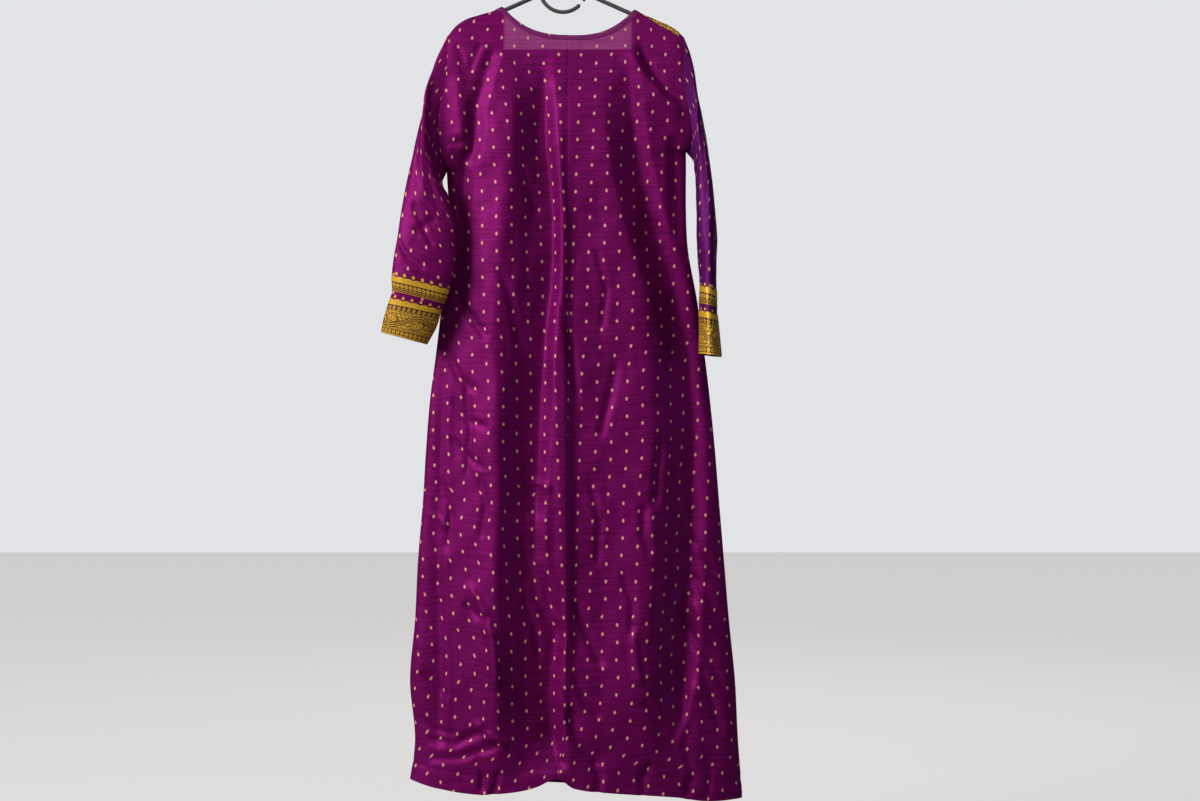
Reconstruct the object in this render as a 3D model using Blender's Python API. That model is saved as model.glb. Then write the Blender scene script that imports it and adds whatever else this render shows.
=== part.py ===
"""A long silk robe with woven gold borders, hanging on a plastic tube hanger.

Metres, +Z up. The robe's back faces -Y and its left side is at -X.
The origin is the inside top of the hanger's hook.
"""

import math
from collections import namedtuple

import bpy
import numpy as np
from mathutils import Vector

# Cloth
WALL = 0.0016
SEAM_GAP = 0.0004
MITRE_SOFTNESS = 0.04
MITRE_LIMIT = 2.2
BORDER_WALL = 0.0009
BORDER_CLEARANCE = 0.0003

# Hanger
TUBE_RADIUS = 0.0039
HOOK_RADIUS = 0.0035
HOOK_BEND_RADIUS = 0.022
HANGER_HALF_WIDTH = 0.203
HANGER_SLOPE = 0.445
HANGER_APEX_Z = -0.0821
HANGER_JOINT_GAP = 0.0003
BAR_DROP = 0.024
LOOP_RADIUS = 0.0036
LOOP_BEND_RADIUS = 0.0414
LOOP_CENTRE = (-0.0018, -0.0915)
LOOP_START_ANGLE = 199.0
LOOP_END_ANGLE = 318.0
LUG_RADIUS = 0.0028
LUG_X = 0.0360
LUG_BOTTOM_Z = -0.1140
TUBE_SIDES = 12

# Shoulders: radius of the cloth's outside where it bends over the hanger's tube
CREST_RADIUS = 0.0073
# Drop below the crest at which the cloth leaves the tube and starts to swell
SWELL_START = 0.0105

# Neckline
NECK_CENTRE_X = 0.0081
NECK_HALF_WIDTH = 0.1197
NECK_CURVE = 2.8
BACK_NECK_DROP = 0.0500
FRONT_NECK_DROP = 0.1150
BINDING_WIDTH = 0.0090
BINDING_SLANT = 1.3
BINDING_PROUD = 0.0003
FACING_BOTTOM_Z = -0.2031
FACING_WALL = 0.0010
FACING_CLEARANCE = 0.0012

# Front borders
BORDER_WIDTH = 0.0660

# Rows and columns of the cloth
NECK_COLUMNS = 10
NECK_COLUMN_SPREAD = 1.7
BORDER_COLUMNS = 3
SIDE_COLUMNS = 3
COLUMN_SPREAD = 1.2
FACING_COLUMNS = 5
FACING_ROWS = 3
UPPER_ROWS = (0.06, 0.17, 0.33, 0.50, 0.66, 0.81, 0.93, 1.0)
SKIRT_ROWS = 14
SKIRT_ROW_SPREAD = 1.15
SLEEVE_BOW_CURVE = 1.4

# Half sections of the body from the underarm to the hem
Section = namedtuple("Section", "z left right back front")
SECTIONS = (
    Section(-0.4209, -0.2110, 0.2196, 0.032, 0.028),
    Section(-0.4893, -0.2080, 0.2196, 0.034, 0.030),
    Section(-0.5613, -0.2120, 0.2232, 0.036, 0.032),
    Section(-0.6513, -0.2196, 0.2394, 0.038, 0.034),
    Section(-0.7413, -0.2295, 0.2520, 0.040, 0.036),
    Section(-0.8313, -0.2412, 0.2628, 0.042, 0.038),
    Section(-0.9213, -0.2484, 0.2718, 0.044, 0.040),
    Section(-1.0113, -0.2538, 0.2790, 0.046, 0.042),
    Section(-1.1193, -0.2628, 0.2880, 0.048, 0.044),
    Section(-1.2273, -0.2682, 0.2970, 0.050, 0.047),
    Section(-1.3353, -0.2772, 0.3078, 0.052, 0.050),
    Section(-1.4433, -0.2682, 0.3132, 0.054, 0.052),
    Section(-1.5333, -0.2808, 0.3204, 0.055, 0.054),
)

# Centre back seam, and the height of the back and front hems across the robe
SeamPoint = namedtuple("SeamPoint", "z x")
CENTRE_BACK = (
    SeamPoint(-0.17, 0.0072),
    SeamPoint(-0.90, 0.0072),
    SeamPoint(-1.38, 0.0054),
    SeamPoint(-1.52, -0.0140),
)
HemPoint = namedtuple("HemPoint", "x back front")
HEM = (
    HemPoint(-0.2820, -1.5117, -1.5117),
    HemPoint(-0.2286, -1.5243, -1.5180),
    HemPoint(-0.1512, -1.5333, -1.5230),
    HemPoint(-0.0846, -1.5279, -1.5260),
    HemPoint(-0.0486, -1.5189, -1.5270),
    HemPoint(-0.0140, -1.5040, -1.5280),
    HemPoint(0.0200, -1.5220, -1.5290),
    HemPoint(0.1008, -1.5315, -1.5330),
    HemPoint(0.1962, -1.5387, -1.5370),
    HemPoint(0.2574, -1.5477, -1.5420),
    HemPoint(0.3210, -1.5459, -1.5459),
)

# Crest of each shoulder and how far its seam has rolled on to the back
CrestPoint = namedtuple("CrestPoint", "x z roll")
CREST_LEFT = (
    CrestPoint(-0.1116, -0.1238, 0.0020),
    CrestPoint(-0.1296, -0.1318, -0.0020),
    CrestPoint(-0.1440, -0.1356, -0.0030),
    CrestPoint(-0.1584, -0.1400, -0.0030),
    CrestPoint(-0.1728, -0.1444, -0.0030),
    CrestPoint(-0.1872, -0.1525, -0.0030),
    CrestPoint(-0.1998, -0.1630, -0.0030),
    CrestPoint(-0.2106, -0.1768, -0.0030),
)
CREST_RIGHT = (
    CrestPoint(0.1278, -0.1290, 0.0015),
    CrestPoint(0.1386, -0.1354, 0.0035),
    CrestPoint(0.1584, -0.1439, 0.0095),
    CrestPoint(0.1728, -0.1505, 0.0120),
    CrestPoint(0.1872, -0.1565, 0.0140),
    CrestPoint(0.2000, -0.1637, 0.0135),
    CrestPoint(0.2106, -0.1718, 0.0120),
    CrestPoint(0.2160, -0.1780, 0.0110),
)

# Armhole seams from the shoulder tip to the underarm
ArmholePoint = namedtuple("ArmholePoint", "z x")
ARMHOLE_LEFT = (
    ArmholePoint(-0.1768, -0.2106),
    ArmholePoint(-0.2193, -0.2092),
    ArmholePoint(-0.2589, -0.2124),
    ArmholePoint(-0.3129, -0.2225),
    ArmholePoint(-0.3651, -0.2250),
    ArmholePoint(-0.3993, -0.2200),
    ArmholePoint(-0.4209, -0.2110),
)
ARMHOLE_RIGHT = (
    ArmholePoint(-0.1780, 0.2160),
    ArmholePoint(-0.2193, 0.2150),
    ArmholePoint(-0.2625, 0.2155),
    ArmholePoint(-0.3003, 0.2210),
    ArmholePoint(-0.3291, 0.2262),
    ArmholePoint(-0.3543, 0.2288),
    ArmholePoint(-0.3720, 0.2275),
    ArmholePoint(-0.3849, 0.2214),
)
ARMHOLE_DEPTH = 0.024
ARMHOLE_SWELL = 0.55

# Folds: x of each fold's line at these heights, its height out of the cloth and its width
FOLD_HEIGHTS = (-0.219, -0.399, -0.579, -0.759, -1.047, -1.335, -1.515)
Fold = namedtuple("Fold", "path top bottom top_width bottom_width")
BACK_FOLDS = (
    Fold((-0.210, -0.190, -0.200, -0.222, -0.238, -0.246, -0.246), -0.004, -0.010, 0.014, 0.020),
    Fold((-0.119, -0.144, -0.162, -0.176, -0.176, -0.184, -0.176), 0.007, 0.015, 0.018, 0.034),
    Fold((-0.072, -0.076, -0.072, -0.079, -0.079, -0.097, -0.094), -0.009, -0.021, 0.020, 0.034),
    Fold((-0.036, -0.032, -0.020, -0.029, -0.013, -0.013, -0.014), 0.007, 0.008, 0.014, 0.018),
    Fold((0.043, 0.050, 0.072, 0.090, 0.092, 0.079, 0.072), 0.006, 0.012, 0.028, 0.052),
    Fold((0.099, 0.115, 0.169, 0.212, 0.221, 0.202, 0.205), -0.010, -0.019, 0.018, 0.030),
    Fold((0.146, 0.158, 0.202, 0.241, 0.266, 0.288, 0.295), 0.008, 0.012, 0.018, 0.022),
)
FRONT_FOLDS = (
    Fold((-0.190, -0.196, -0.206, -0.216, -0.226, -0.232, -0.236), 0.005, 0.012, 0.018, 0.026),
    Fold((-0.150, -0.152, -0.160, -0.168, -0.172, -0.176, -0.180), -0.007, -0.018, 0.020, 0.032),
    Fold((-0.060, -0.066, -0.080, -0.092, -0.100, -0.104, -0.106), 0.006, 0.014, 0.024, 0.040),
    Fold((0.008, 0.006, -0.004, -0.010, -0.014, -0.012, -0.008), -0.008, -0.020, 0.024, 0.038),
    Fold((0.062, 0.068, 0.080, 0.090, 0.098, 0.106, 0.110), 0.006, 0.014, 0.024, 0.040),
    Fold((0.148, 0.156, 0.170, 0.184, 0.196, 0.204, 0.208), -0.007, -0.019, 0.020, 0.032),
    Fold((0.196, 0.204, 0.216, 0.234, 0.252, 0.266, 0.274), 0.005, 0.012, 0.018, 0.028),
)

# Short folds of the back: each runs straight from its start to its end
ShortFold = namedtuple("ShortFold", "x0 z0 x1 z1 height width")
SHORT_FOLDS = (
    ShortFold(-0.198, -0.318, -0.196, -0.362, 0.014, 0.022),
    ShortFold(-0.164, -0.250, -0.160, -0.390, -0.010, 0.012),
    ShortFold(0.112, -0.190, 0.216, -0.335, 0.008, 0.014),
)

# Rings of the sleeves: the outer and the inner point, how far the ring bows away
# from the body between them, and its half depth
Ring = namedtuple("Ring", "outer_x outer_y outer_z inner_x inner_y inner_z bow depth")
SLEEVE_LEFT = (
    Ring(-0.2270, -0.002, -0.2160, -0.2175, -0.011, -0.4400, 0.018, 0.027),
    Ring(-0.2410, -0.008, -0.2670, -0.2120, -0.028, -0.4550, 0.017, 0.026),
    Ring(-0.2600, -0.017, -0.3450, -0.2020, -0.040, -0.4750, 0.013, 0.023),
    Ring(-0.2780, -0.030, -0.4300, -0.1940, -0.046, -0.5150, 0.006, 0.019),
    Ring(-0.2920, -0.042, -0.5100, -0.1910, -0.051, -0.5640, 0.002, 0.018),
    Ring(-0.2995, -0.050, -0.5640, -0.1945, -0.054, -0.6010, 0.000, 0.018),
    Ring(-0.3045, -0.053, -0.6090, -0.2025, -0.054, -0.6345, 0.000, 0.018),
    Ring(-0.3040, -0.050, -0.6370, -0.2120, -0.051, -0.6600, 0.000, 0.018),
    Ring(-0.3080, -0.047, -0.6490, -0.2170, -0.048, -0.6700, 0.000, 0.019),
    Ring(-0.3200, -0.039, -0.6830, -0.2270, -0.040, -0.7010, 0.000, 0.022),
    Ring(-0.3260, -0.030, -0.7100, -0.2440, -0.032, -0.7320, 0.000, 0.024),
)
SLEEVE_RIGHT = (
    Ring(0.2290, 0.000, -0.2140, 0.2310, -0.001, -0.3990, 0.004, 0.027),
    Ring(0.2385, -0.002, -0.2735, 0.2345, -0.003, -0.4140, 0.004, 0.030),
    Ring(0.2485, -0.005, -0.3280, 0.2360, -0.007, -0.4340, 0.005, 0.034),
    Ring(0.2585, -0.010, -0.3820, 0.2365, -0.013, -0.4620, 0.005, 0.039),
    Ring(0.2660, -0.018, -0.4390, 0.2370, -0.021, -0.4970, 0.004, 0.043),
    Ring(0.2695, -0.028, -0.5040, 0.2380, -0.031, -0.5430, 0.003, 0.048),
    Ring(0.2715, -0.040, -0.5690, 0.2395, -0.041, -0.5900, 0.000, 0.050),
    Ring(0.2730, -0.053, -0.6390, 0.2410, -0.053, -0.6280, 0.000, 0.051),
    Ring(0.2730, -0.060, -0.6700, 0.2400, -0.060, -0.6600, 0.000, 0.051),
    Ring(0.2735, -0.063, -0.6820, 0.2400, -0.063, -0.6720, 0.000, 0.051),
    Ring(0.2760, -0.071, -0.7180, 0.2405, -0.071, -0.7120, 0.000, 0.050),
    Ring(0.2790, -0.078, -0.7550, 0.2395, -0.078, -0.7500, 0.000, 0.049),
)
# Rings, counted back from the cuff, between which each woven border lies
NARROW_BORDER_RINGS = (5, 4)
WIDE_BORDER_RINGS = (3, 1)

Finish = namedtuple("Finish", "colour roughness metallic")
SILK = Finish((0.20, 0.012, 0.145), 0.42, 0.0)
SILK_SHADE = Finish((0.15, 0.010, 0.16), 0.45, 0.0)
GOLD = Finish((0.62, 0.36, 0.07), 0.38, 0.35)
BINDING = Finish((0.16, 0.012, 0.11), 0.5, 0.0)
PLASTIC = Finish((0.055, 0.058, 0.062), 0.35, 0.0)


def clear_scene():
    for item in list(bpy.data.objects):
        bpy.data.objects.remove(item, do_unlink=True)


def smooth_value(places, values, at):
    """Value at a place on a smooth curve through the table, flat beyond its ends."""
    if places[0] > places[-1]:
        places = [-place for place in places]
        at = -at
    if at <= places[0]:
        return values[0]
    if at >= places[-1]:
        return values[-1]
    last = len(places) - 1
    i = max(k for k in range(last) if places[k] <= at)
    span = places[i + 1] - places[i]
    t = (at - places[i]) / span

    def slope(k):
        low = max(k - 1, 0)
        high = min(k + 1, last)
        return (values[high] - values[low]) / (places[high] - places[low])

    start = values[i] * (2 * t**3 - 3 * t**2 + 1) + span * slope(i) * (t**3 - 2 * t**2 + t)
    end = values[i + 1] * (3 * t**2 - 2 * t**3) + span * slope(i + 1) * (t**3 - t**2)
    return start + end


def column(table, name):
    return [getattr(row, name) for row in table]


def table_value(table, key, name, at):
    return smooth_value(column(table, key), column(table, name), at)


def blend(a, b, t):
    return a + (b - a) * t


class Side:
    """The left or the right half of the robe, with what differs between the two."""

    def __init__(self, name):
        self.name = name
        self.left = name == "left"
        self.sign = -1 if self.left else 1
        self.crest = CREST_LEFT if self.left else CREST_RIGHT
        self.armhole = ARMHOLE_LEFT if self.left else ARMHOLE_RIGHT
        self.sleeve = SLEEVE_LEFT if self.left else SLEEVE_RIGHT
        self.neck_x = NECK_CENTRE_X + self.sign * NECK_HALF_WIDTH
        self.tip_x = self.crest[-1].x
        self.underarm = self.armhole[-1]

    def crest_z(self, x):
        return table_value(self.crest, "x", "z", x)

    def roll(self, x):
        return table_value(self.crest, "x", "roll", x)

    def edge_x(self, z):
        """Side seam below the underarm, armhole seam above it."""
        if z > self.underarm.z:
            return table_value(self.armhole, "z", "x", z)
        return table_value(SECTIONS, "z", self.name, z)


LEFT = Side("left")
RIGHT = Side("right")


def crest_z(x):
    """Top of the cloth: the shoulder's crest, and a level line across the neck."""
    if x <= LEFT.neck_x:
        return LEFT.crest_z(x)
    if x >= RIGHT.neck_x:
        return RIGHT.crest_z(x)
    across = (x - LEFT.neck_x) / (RIGHT.neck_x - LEFT.neck_x)
    return blend(LEFT.crest_z(LEFT.neck_x), RIGHT.crest_z(RIGHT.neck_x), across)


def over_crest(way):
    """Depth and drop after going some way down from the crest, over the tube."""
    turn = abs(way) / CREST_RADIUS
    if turn < math.pi / 2:
        depth = CREST_RADIUS * math.sin(turn)
        drop = CREST_RADIUS * (1 - math.cos(turn))
    else:
        depth = CREST_RADIUS
        drop = CREST_RADIUS * (1 + turn - math.pi / 2)
    return math.copysign(depth, way), drop


def way_for_drop(drop):
    if drop < CREST_RADIUS:
        return CREST_RADIUS * math.acos(1 - drop / CREST_RADIUS)
    return CREST_RADIUS * (math.pi / 2 - 1) + drop


def smoothstep(t):
    t = min(max(t, 0.0), 1.0)
    return t * t * (3 - 2 * t)


def fold_height(x, z, folds):
    total = 0.0
    for fold in folds:
        middle = smooth_value(FOLD_HEIGHTS, fold.path, z)
        down = min(max((FOLD_HEIGHTS[0] - z) / (FOLD_HEIGHTS[0] - FOLD_HEIGHTS[-1]), 0.0), 1.0)
        height = blend(fold.top, fold.bottom, math.sqrt(down))
        width = blend(fold.top_width, fold.bottom_width, down)
        total += height * math.exp(-(((x - middle) / width) ** 2))
    return total


def short_fold_height(x, z):
    total = 0.0
    for fold in SHORT_FOLDS:
        along = Vector((fold.x1 - fold.x0, fold.z1 - fold.z0))
        offset = Vector((x - fold.x0, z - fold.z0))
        t = min(max(offset.dot(along) / along.length_squared, 0.0), 1.0)
        away = (offset - along * t).length
        total += fold.height * math.exp(-((away / fold.width) ** 2))
    return total


def armhole_depth(drop, full_drop):
    """Half depth of the armhole at a drop below the shoulder tip."""
    if drop <= SWELL_START:
        return over_crest(way_for_drop(drop))[0]
    q = (drop - SWELL_START) / (full_drop - SWELL_START)
    swell = blend(CREST_RADIUS, ARMHOLE_DEPTH, math.sin(math.pi / 2 * min(q / ARMHOLE_SWELL, 1)))
    return swell * math.sqrt(max(1 - q**6, 0.0))


class Face:
    """The back or the front of the robe as a surface that any piece can be cut from."""

    def __init__(self, name):
        self.name = name
        self.back = name == "back"
        self.sign = -1 if self.back else 1
        self.folds = BACK_FOLDS if self.back else FRONT_FOLDS
        self.neck_drop = BACK_NECK_DROP if self.back else FRONT_NECK_DROP

    def centre_x(self, z):
        if self.back:
            return table_value(CENTRE_BACK, "z", "x", z)
        return NECK_CENTRE_X

    def hem_z(self, x):
        return table_value(HEM, "x", self.name, x)

    def chest_z(self, u, side):
        middle = (LEFT.underarm.z + RIGHT.underarm.z) / 2
        return blend(middle, side.underarm.z, u)

    def folding(self, x, z, u, drop):
        height = fold_height(x, z, self.folds) * (1 - u**6) * smoothstep((drop - 0.02) / 0.07)
        if self.back:
            height += short_fold_height(x, z) * (1 - u**12) * smoothstep((drop - 0.03) / 0.05)
        return height

    def upper_point(self, x, way, u, side):
        """Point above the chest line, some way down from the crest on this face."""
        depth, drop = over_crest(way)
        z = crest_z(x) - drop
        full_drop = crest_z(x) - self.chest_z(u, side)
        if drop > SWELL_START and way > 0:
            q = (drop - SWELL_START) / (full_drop - SWELL_START)
            chest = table_value(SECTIONS, "z", self.name, SECTIONS[0].z)
            open_depth = CREST_RADIUS + (chest - CREST_RADIUS) * (1 - (1 - q) ** 2)
            edge_depth = armhole_depth(drop, full_drop)
            section = math.sqrt(max(1 - u * u, 0.0))
            depth = blend(edge_depth, open_depth, section) + self.folding(x, z, u, drop)
        return Vector((x, self.sign * depth, z))

    def skirt_point(self, x, z, u, side):
        depth = table_value(SECTIONS, "z", self.name, z) * math.sqrt(max(1 - u * u, 0.0))
        depth += self.folding(x, z, u, crest_z(x) - z)
        return Vector((x, self.sign * depth, z))


BACK = Face("back")
FRONT = Face("front")


def neck_share(i):
    """Share of the neckline's half width at a column."""
    return 1 - (1 - i / NECK_COLUMNS) ** NECK_COLUMN_SPREAD


def neck_curve(face, side, share, inset):
    """Point of the neckline, or inset from it, as x and way down from the crest."""
    corner = side.neck_x + side.sign * inset * BINDING_SLANT
    roll = side.roll(corner) * (1 if face.back else -1)
    bottom = way_for_drop(face.neck_drop) + inset
    return blend(NECK_CENTRE_X, corner, share), blend(bottom, roll, share**NECK_CURVE)


def row_ways(face, top, bottom):
    """Ways from the crest of the rows between a column's top edge and the chest line."""
    steps = [0.0045, 0.0045] if face.back else [max(0.003, -top / 2)] * 2 + [0.005, 0.005]
    ways = [top]
    for step in steps:
        ways.append(ways[-1] + step)
    start = ways[-1]
    return ways + [blend(start, bottom, share) for share in UPPER_ROWS]


def border_span(side):
    inner = side.neck_x + side.sign * BINDING_WIDTH * BINDING_SLANT
    return inner, inner + side.sign * BORDER_WIDTH


class Column:
    """One column of half a face, from its top edge to the hem."""

    count = NECK_COLUMNS + BORDER_COLUMNS + SIDE_COLUMNS

    def __init__(self, face, side, i):
        self.face = face
        self.side = side
        self.i = i
        self.at_edge = i == self.count
        if i <= NECK_COLUMNS:
            self.top_x, self.top_way = neck_curve(face, side, neck_share(i), BINDING_WIDTH)
        else:
            inner, outer = border_span(side)
            if i <= NECK_COLUMNS + BORDER_COLUMNS:
                self.top_x = blend(inner, outer, (i - NECK_COLUMNS) / BORDER_COLUMNS)
            else:
                share = (i - NECK_COLUMNS - BORDER_COLUMNS) / SIDE_COLUMNS
                self.top_x = blend(outer, side.tip_x, share)
            self.top_way = side.roll(self.top_x) * (1 if face.back else -1)
        self.chest_x = self.x_at(side.underarm.z)
        self.u = self.share_at(self.chest_x, side.underarm.z)
        self.chest_z = face.chest_z(self.u, side)
        top = side.crest[-1].z if self.at_edge else crest_z(self.chest_x)
        self.bottom_way = way_for_drop(top - self.chest_z)

    def x_at(self, z):
        """x of the column at a height below the chest line."""
        edge = self.side.edge_x(z)
        if self.face.back:
            share = 1 - (1 - self.i / self.count) ** COLUMN_SPREAD
            return blend(self.face.centre_x(z), edge, share)
        inner, outer = border_span(self.side)
        if self.i <= NECK_COLUMNS:
            return blend(NECK_CENTRE_X, inner, self.i / NECK_COLUMNS)
        if self.i <= NECK_COLUMNS + BORDER_COLUMNS:
            return self.top_x
        share = (self.i - NECK_COLUMNS - BORDER_COLUMNS) / SIDE_COLUMNS
        return blend(outer, edge, 1 - (1 - share) ** COLUMN_SPREAD)

    def share_at(self, x, z):
        """Share of the half width at a place."""
        if self.at_edge:
            return 1.0
        centre = self.face.centre_x(z)
        return min(max((x - centre) / (self.side.edge_x(z) - centre), 0.0), 1.0)

    def upper_point(self, way):
        """Point some way down from the crest, above the chest line."""
        if self.at_edge:
            return armhole_point(self.face, self.side, way)
        down = max(way - self.top_way, 0.0) / (self.bottom_way - self.top_way)
        x = blend(self.top_x, self.chest_x, down)
        if way > 0 and (self.face.back or self.i > NECK_COLUMNS + BORDER_COLUMNS):
            z = crest_z(x) - over_crest(way)[1]
            straight_x = blend(self.side.tip_x, self.side.underarm.x, down)
            x += (self.side.edge_x(z) - straight_x) * self.u**4 * smoothstep(down / 0.1)
        return self.face.upper_point(x, way, self.u, self.side)

    def ways(self):
        return row_ways(self.face, self.top_way, self.bottom_way)

    def hem_z(self):
        if self.at_edge:
            return BACK.hem_z(self.x_at(SECTIONS[-1].z))
        return self.face.hem_z(self.x_at(SECTIONS[-1].z))

    def points(self):
        points = [self.upper_point(way) for way in self.ways()]
        chest_z = points[-1].z
        for k in range(1, SKIRT_ROWS + 1):
            z = blend(chest_z, self.hem_z(), (k / SKIRT_ROWS) ** SKIRT_ROW_SPREAD)
            x = self.x_at(z)
            points.append(self.face.skirt_point(x, z, self.share_at(x, z), self.side))
        return points


def panel_rows(face, side):
    """Rows of points of half a face, each from the centre to the side."""
    columns = [Column(face, side, i).points() for i in range(Column.count + 1)]
    return transposed(columns)


def armhole_point(face, side, way):
    """Point of the armhole seam, some way from the shoulder's crest."""
    drop = over_crest(way)[1]
    full_drop = side.crest[-1].z - side.underarm.z
    depth = over_crest(way)[0]
    if way > 0:
        depth = armhole_depth(min(drop, full_drop), full_drop)
    z = side.crest[-1].z - min(drop, full_drop)
    x = table_value(side.armhole, "z", "x", z)
    return Vector((x, face.sign * depth, z))


def sleeve_rings(side):
    """Rings of a sleeve; each starts at the shoulder seam and runs down the back."""
    back = Column(BACK, side, Column.count).ways()
    front = list(reversed(Column(FRONT, side, Column.count).ways()[1:-1]))
    height = side.crest[-1].z - side.underarm.z
    seam = []
    angles = []
    for face, ways in ((BACK, back), (FRONT, front)):
        for way in ways:
            seam.append(armhole_point(face, side, way))
            drop = min(over_crest(way)[1], height)
            facing = -face.sign if way > 0 else face.sign
            angles.append(facing * math.acos(1 - 2 * drop / height))
    rings = [seam]
    for ring in side.sleeve:
        outer = Vector((ring.outer_x, ring.outer_y, ring.outer_z))
        inner = Vector((ring.inner_x, ring.inner_y, ring.inner_z))
        middle = (outer + inner) / 2
        half = (outer - inner) / 2
        away = Vector((half.z, 0, -half.x)).normalized() * side.sign
        points = []
        for angle in angles:
            bow = ring.bow * abs(math.sin(angle)) ** SLEEVE_BOW_CURVE
            point = middle + half * math.cos(angle) + away * bow
            point.y -= ring.depth * math.sin(angle)
            points.append(point)
        rings.append(points)
    return rings


def grid_offsets(grids):
    """Vector at each point of some grids that moves the faces meeting there out by one unit."""
    normals = {}

    def key(point):
        return tuple(round(value, 6) for value in point)

    for rows, closed in grids:
        count = len(rows[0])
        for a, b in zip(rows, rows[1:]):
            for j in range(count if closed else count - 1):
                k = (j + 1) % count
                corners = (a[j], a[k], b[k], b[j])
                normal = (corners[3] - corners[1]).cross(corners[2] - corners[0])
                for corner in corners:
                    normals.setdefault(key(corner), []).append(normal.normalized())
    offsets = {}
    for place, meeting in normals.items():
        matrix = np.array(meeting)
        system = matrix.T @ matrix + MITRE_SOFTNESS * np.eye(3)
        offset = Vector(np.linalg.solve(system, matrix.sum(axis=0)))
        offsets[place] = offset * min(1, MITRE_LIMIT / offset.length)
    return lambda point: offsets[key(point)]


def new_object(name, vertices, faces, finish, smooth=True):
    mesh = bpy.data.meshes.new(name)
    mesh.from_pydata([tuple(v) for v in vertices], [], faces)
    mesh.update()
    if smooth:
        mesh.shade_smooth()
    material = bpy.data.materials.new(name)
    material.use_nodes = True
    shader = material.node_tree.nodes["Principled BSDF"]
    shader.inputs["Base Color"].default_value = (*finish.colour, 1)
    shader.inputs["Roughness"].default_value = finish.roughness
    shader.inputs["Metallic"].default_value = finish.metallic
    mesh.materials.append(material)
    item = bpy.data.objects.new(name, mesh)
    bpy.context.scene.collection.objects.link(item)
    return item


def drawn_in(rows, ends, sides, gap):
    """Copy of a grid whose open edges are drawn in by a gap."""
    moved = [list(row) for row in rows]

    def draw(edge, inside):
        for target, source in zip(edge, inside):
            direction = (source[1] - target[1]).normalized()
            moved[target[0][0]][target[0][1]] = target[1] + direction * gap

    count = len(rows[0])
    if ends:
        for edge, inside in ((0, 1), (len(rows) - 1, len(rows) - 2)):
            if (edge == 0 and ends[0]) or (edge > 0 and ends[1]):
                draw([((edge, j), rows[edge][j]) for j in range(count)],
                     [((inside, j), rows[inside][j]) for j in range(count)])
    rows = [list(row) for row in moved]
    if sides:
        for edge, inside in ((0, 1), (count - 1, count - 2)):
            if (edge == 0 and sides[0]) or (edge > 0 and sides[1]):
                draw([((i, edge), rows[i][edge]) for i in range(len(rows))],
                     [((i, inside), rows[i][inside]) for i in range(len(rows))])
    return moved


def cloth_wall(name, rows, offset_at, finish, wall=WALL, rise=0.0, closed=False,
               ends=(True, False), sides=(True, True), gap=SEAM_GAP / 2):
    """Closed wall between a grid moved out by a rise and the same grid a wall further in."""
    outer = [[p + offset_at(p) * rise for p in row] for row in rows]
    inner = [[p + offset_at(p) * (rise - wall) for p in row] for row in rows]
    if closed:
        sides = None
    outer = drawn_in(outer, ends, sides, gap)
    inner = drawn_in(inner, ends, sides, gap)
    height = len(rows)
    count = len(rows[0])
    vertices = [p for row in outer for p in row] + [p for row in inner for p in row]
    flat = [p for row in rows for p in row]
    faces = []

    def index(layer, i, j):
        return layer * height * count + i * count + j % count

    def add_quad(a, b, c, d):
        faces.append((a, b, c))
        faces.append((a, c, d))

    def bulges(a, b, c, d):
        """Whether the diagonal from a to c lies further out than the one from b to d."""
        points = [vertices[k] for k in (a, b, c, d)]
        outward = sum((offset_at(flat[k]) for k in (a, b, c, d)), Vector())
        return (points[0] + points[2] - points[1] - points[3]).dot(outward) >= 0

    def add_rim(a, b, c, d):
        if vertices[a].z > vertices[b].z:
            add_quad(a, b, c, d)
        else:
            add_quad(b, c, d, a)

    spans = count if closed else count - 1
    for i in range(height - 1):
        for j in range(spans):
            corners = [index(0, i, j), index(0, i + 1, j),
                       index(0, i + 1, j + 1), index(0, i, j + 1)]
            if not bulges(*corners):
                corners = corners[1:] + corners[:1]
            add_quad(*corners)
            a, b, c, d = [corner + height * count for corner in corners]
            add_quad(a, d, c, b)
    for j in range(spans):
        e = height - 1
        add_rim(index(0, 0, j), index(0, 0, j + 1), index(1, 0, j + 1), index(1, 0, j))
        add_rim(index(0, e, j + 1), index(0, e, j), index(1, e, j), index(1, e, j + 1))
    if not closed:
        for i in range(height - 1):
            e = count - 1
            add_rim(index(0, i + 1, 0), index(0, i, 0), index(1, i, 0), index(1, i + 1, 0))
            add_rim(index(0, i, e), index(0, i + 1, e), index(1, i + 1, e), index(1, i, e))
    return new_object(name, vertices, faces, finish)


def transposed(columns):
    return [list(row) for row in zip(*columns)]


def mirrored_order(rows):
    return [list(reversed(row)) for row in rows]


def robe_grids():
    """Grids of the panels and sleeves, all with their rows from the left to the right."""
    grids = {"back_right": panel_rows(BACK, RIGHT)}
    grids["back_left"] = mirrored_order(panel_rows(BACK, LEFT))
    grids["front_left"] = panel_rows(FRONT, LEFT)
    grids["front_right"] = mirrored_order(panel_rows(FRONT, RIGHT))
    grids["sleeve_left"] = sleeve_rings(LEFT)
    grids["sleeve_right"] = mirrored_order(sleeve_rings(RIGHT))
    grids["neck_binding"] = neck_binding_rows()
    return grids


def make_panels(grids, offset_at):
    for name in ("back_left", "back_right", "front_left", "front_right"):
        cloth_wall(name, grids[name], offset_at, SILK)
    cloth_wall("neck_binding", grids["neck_binding"], offset_at, BINDING, closed=True,
               wall=WALL + BINDING_PROUD, rise=BINDING_PROUD)


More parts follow.
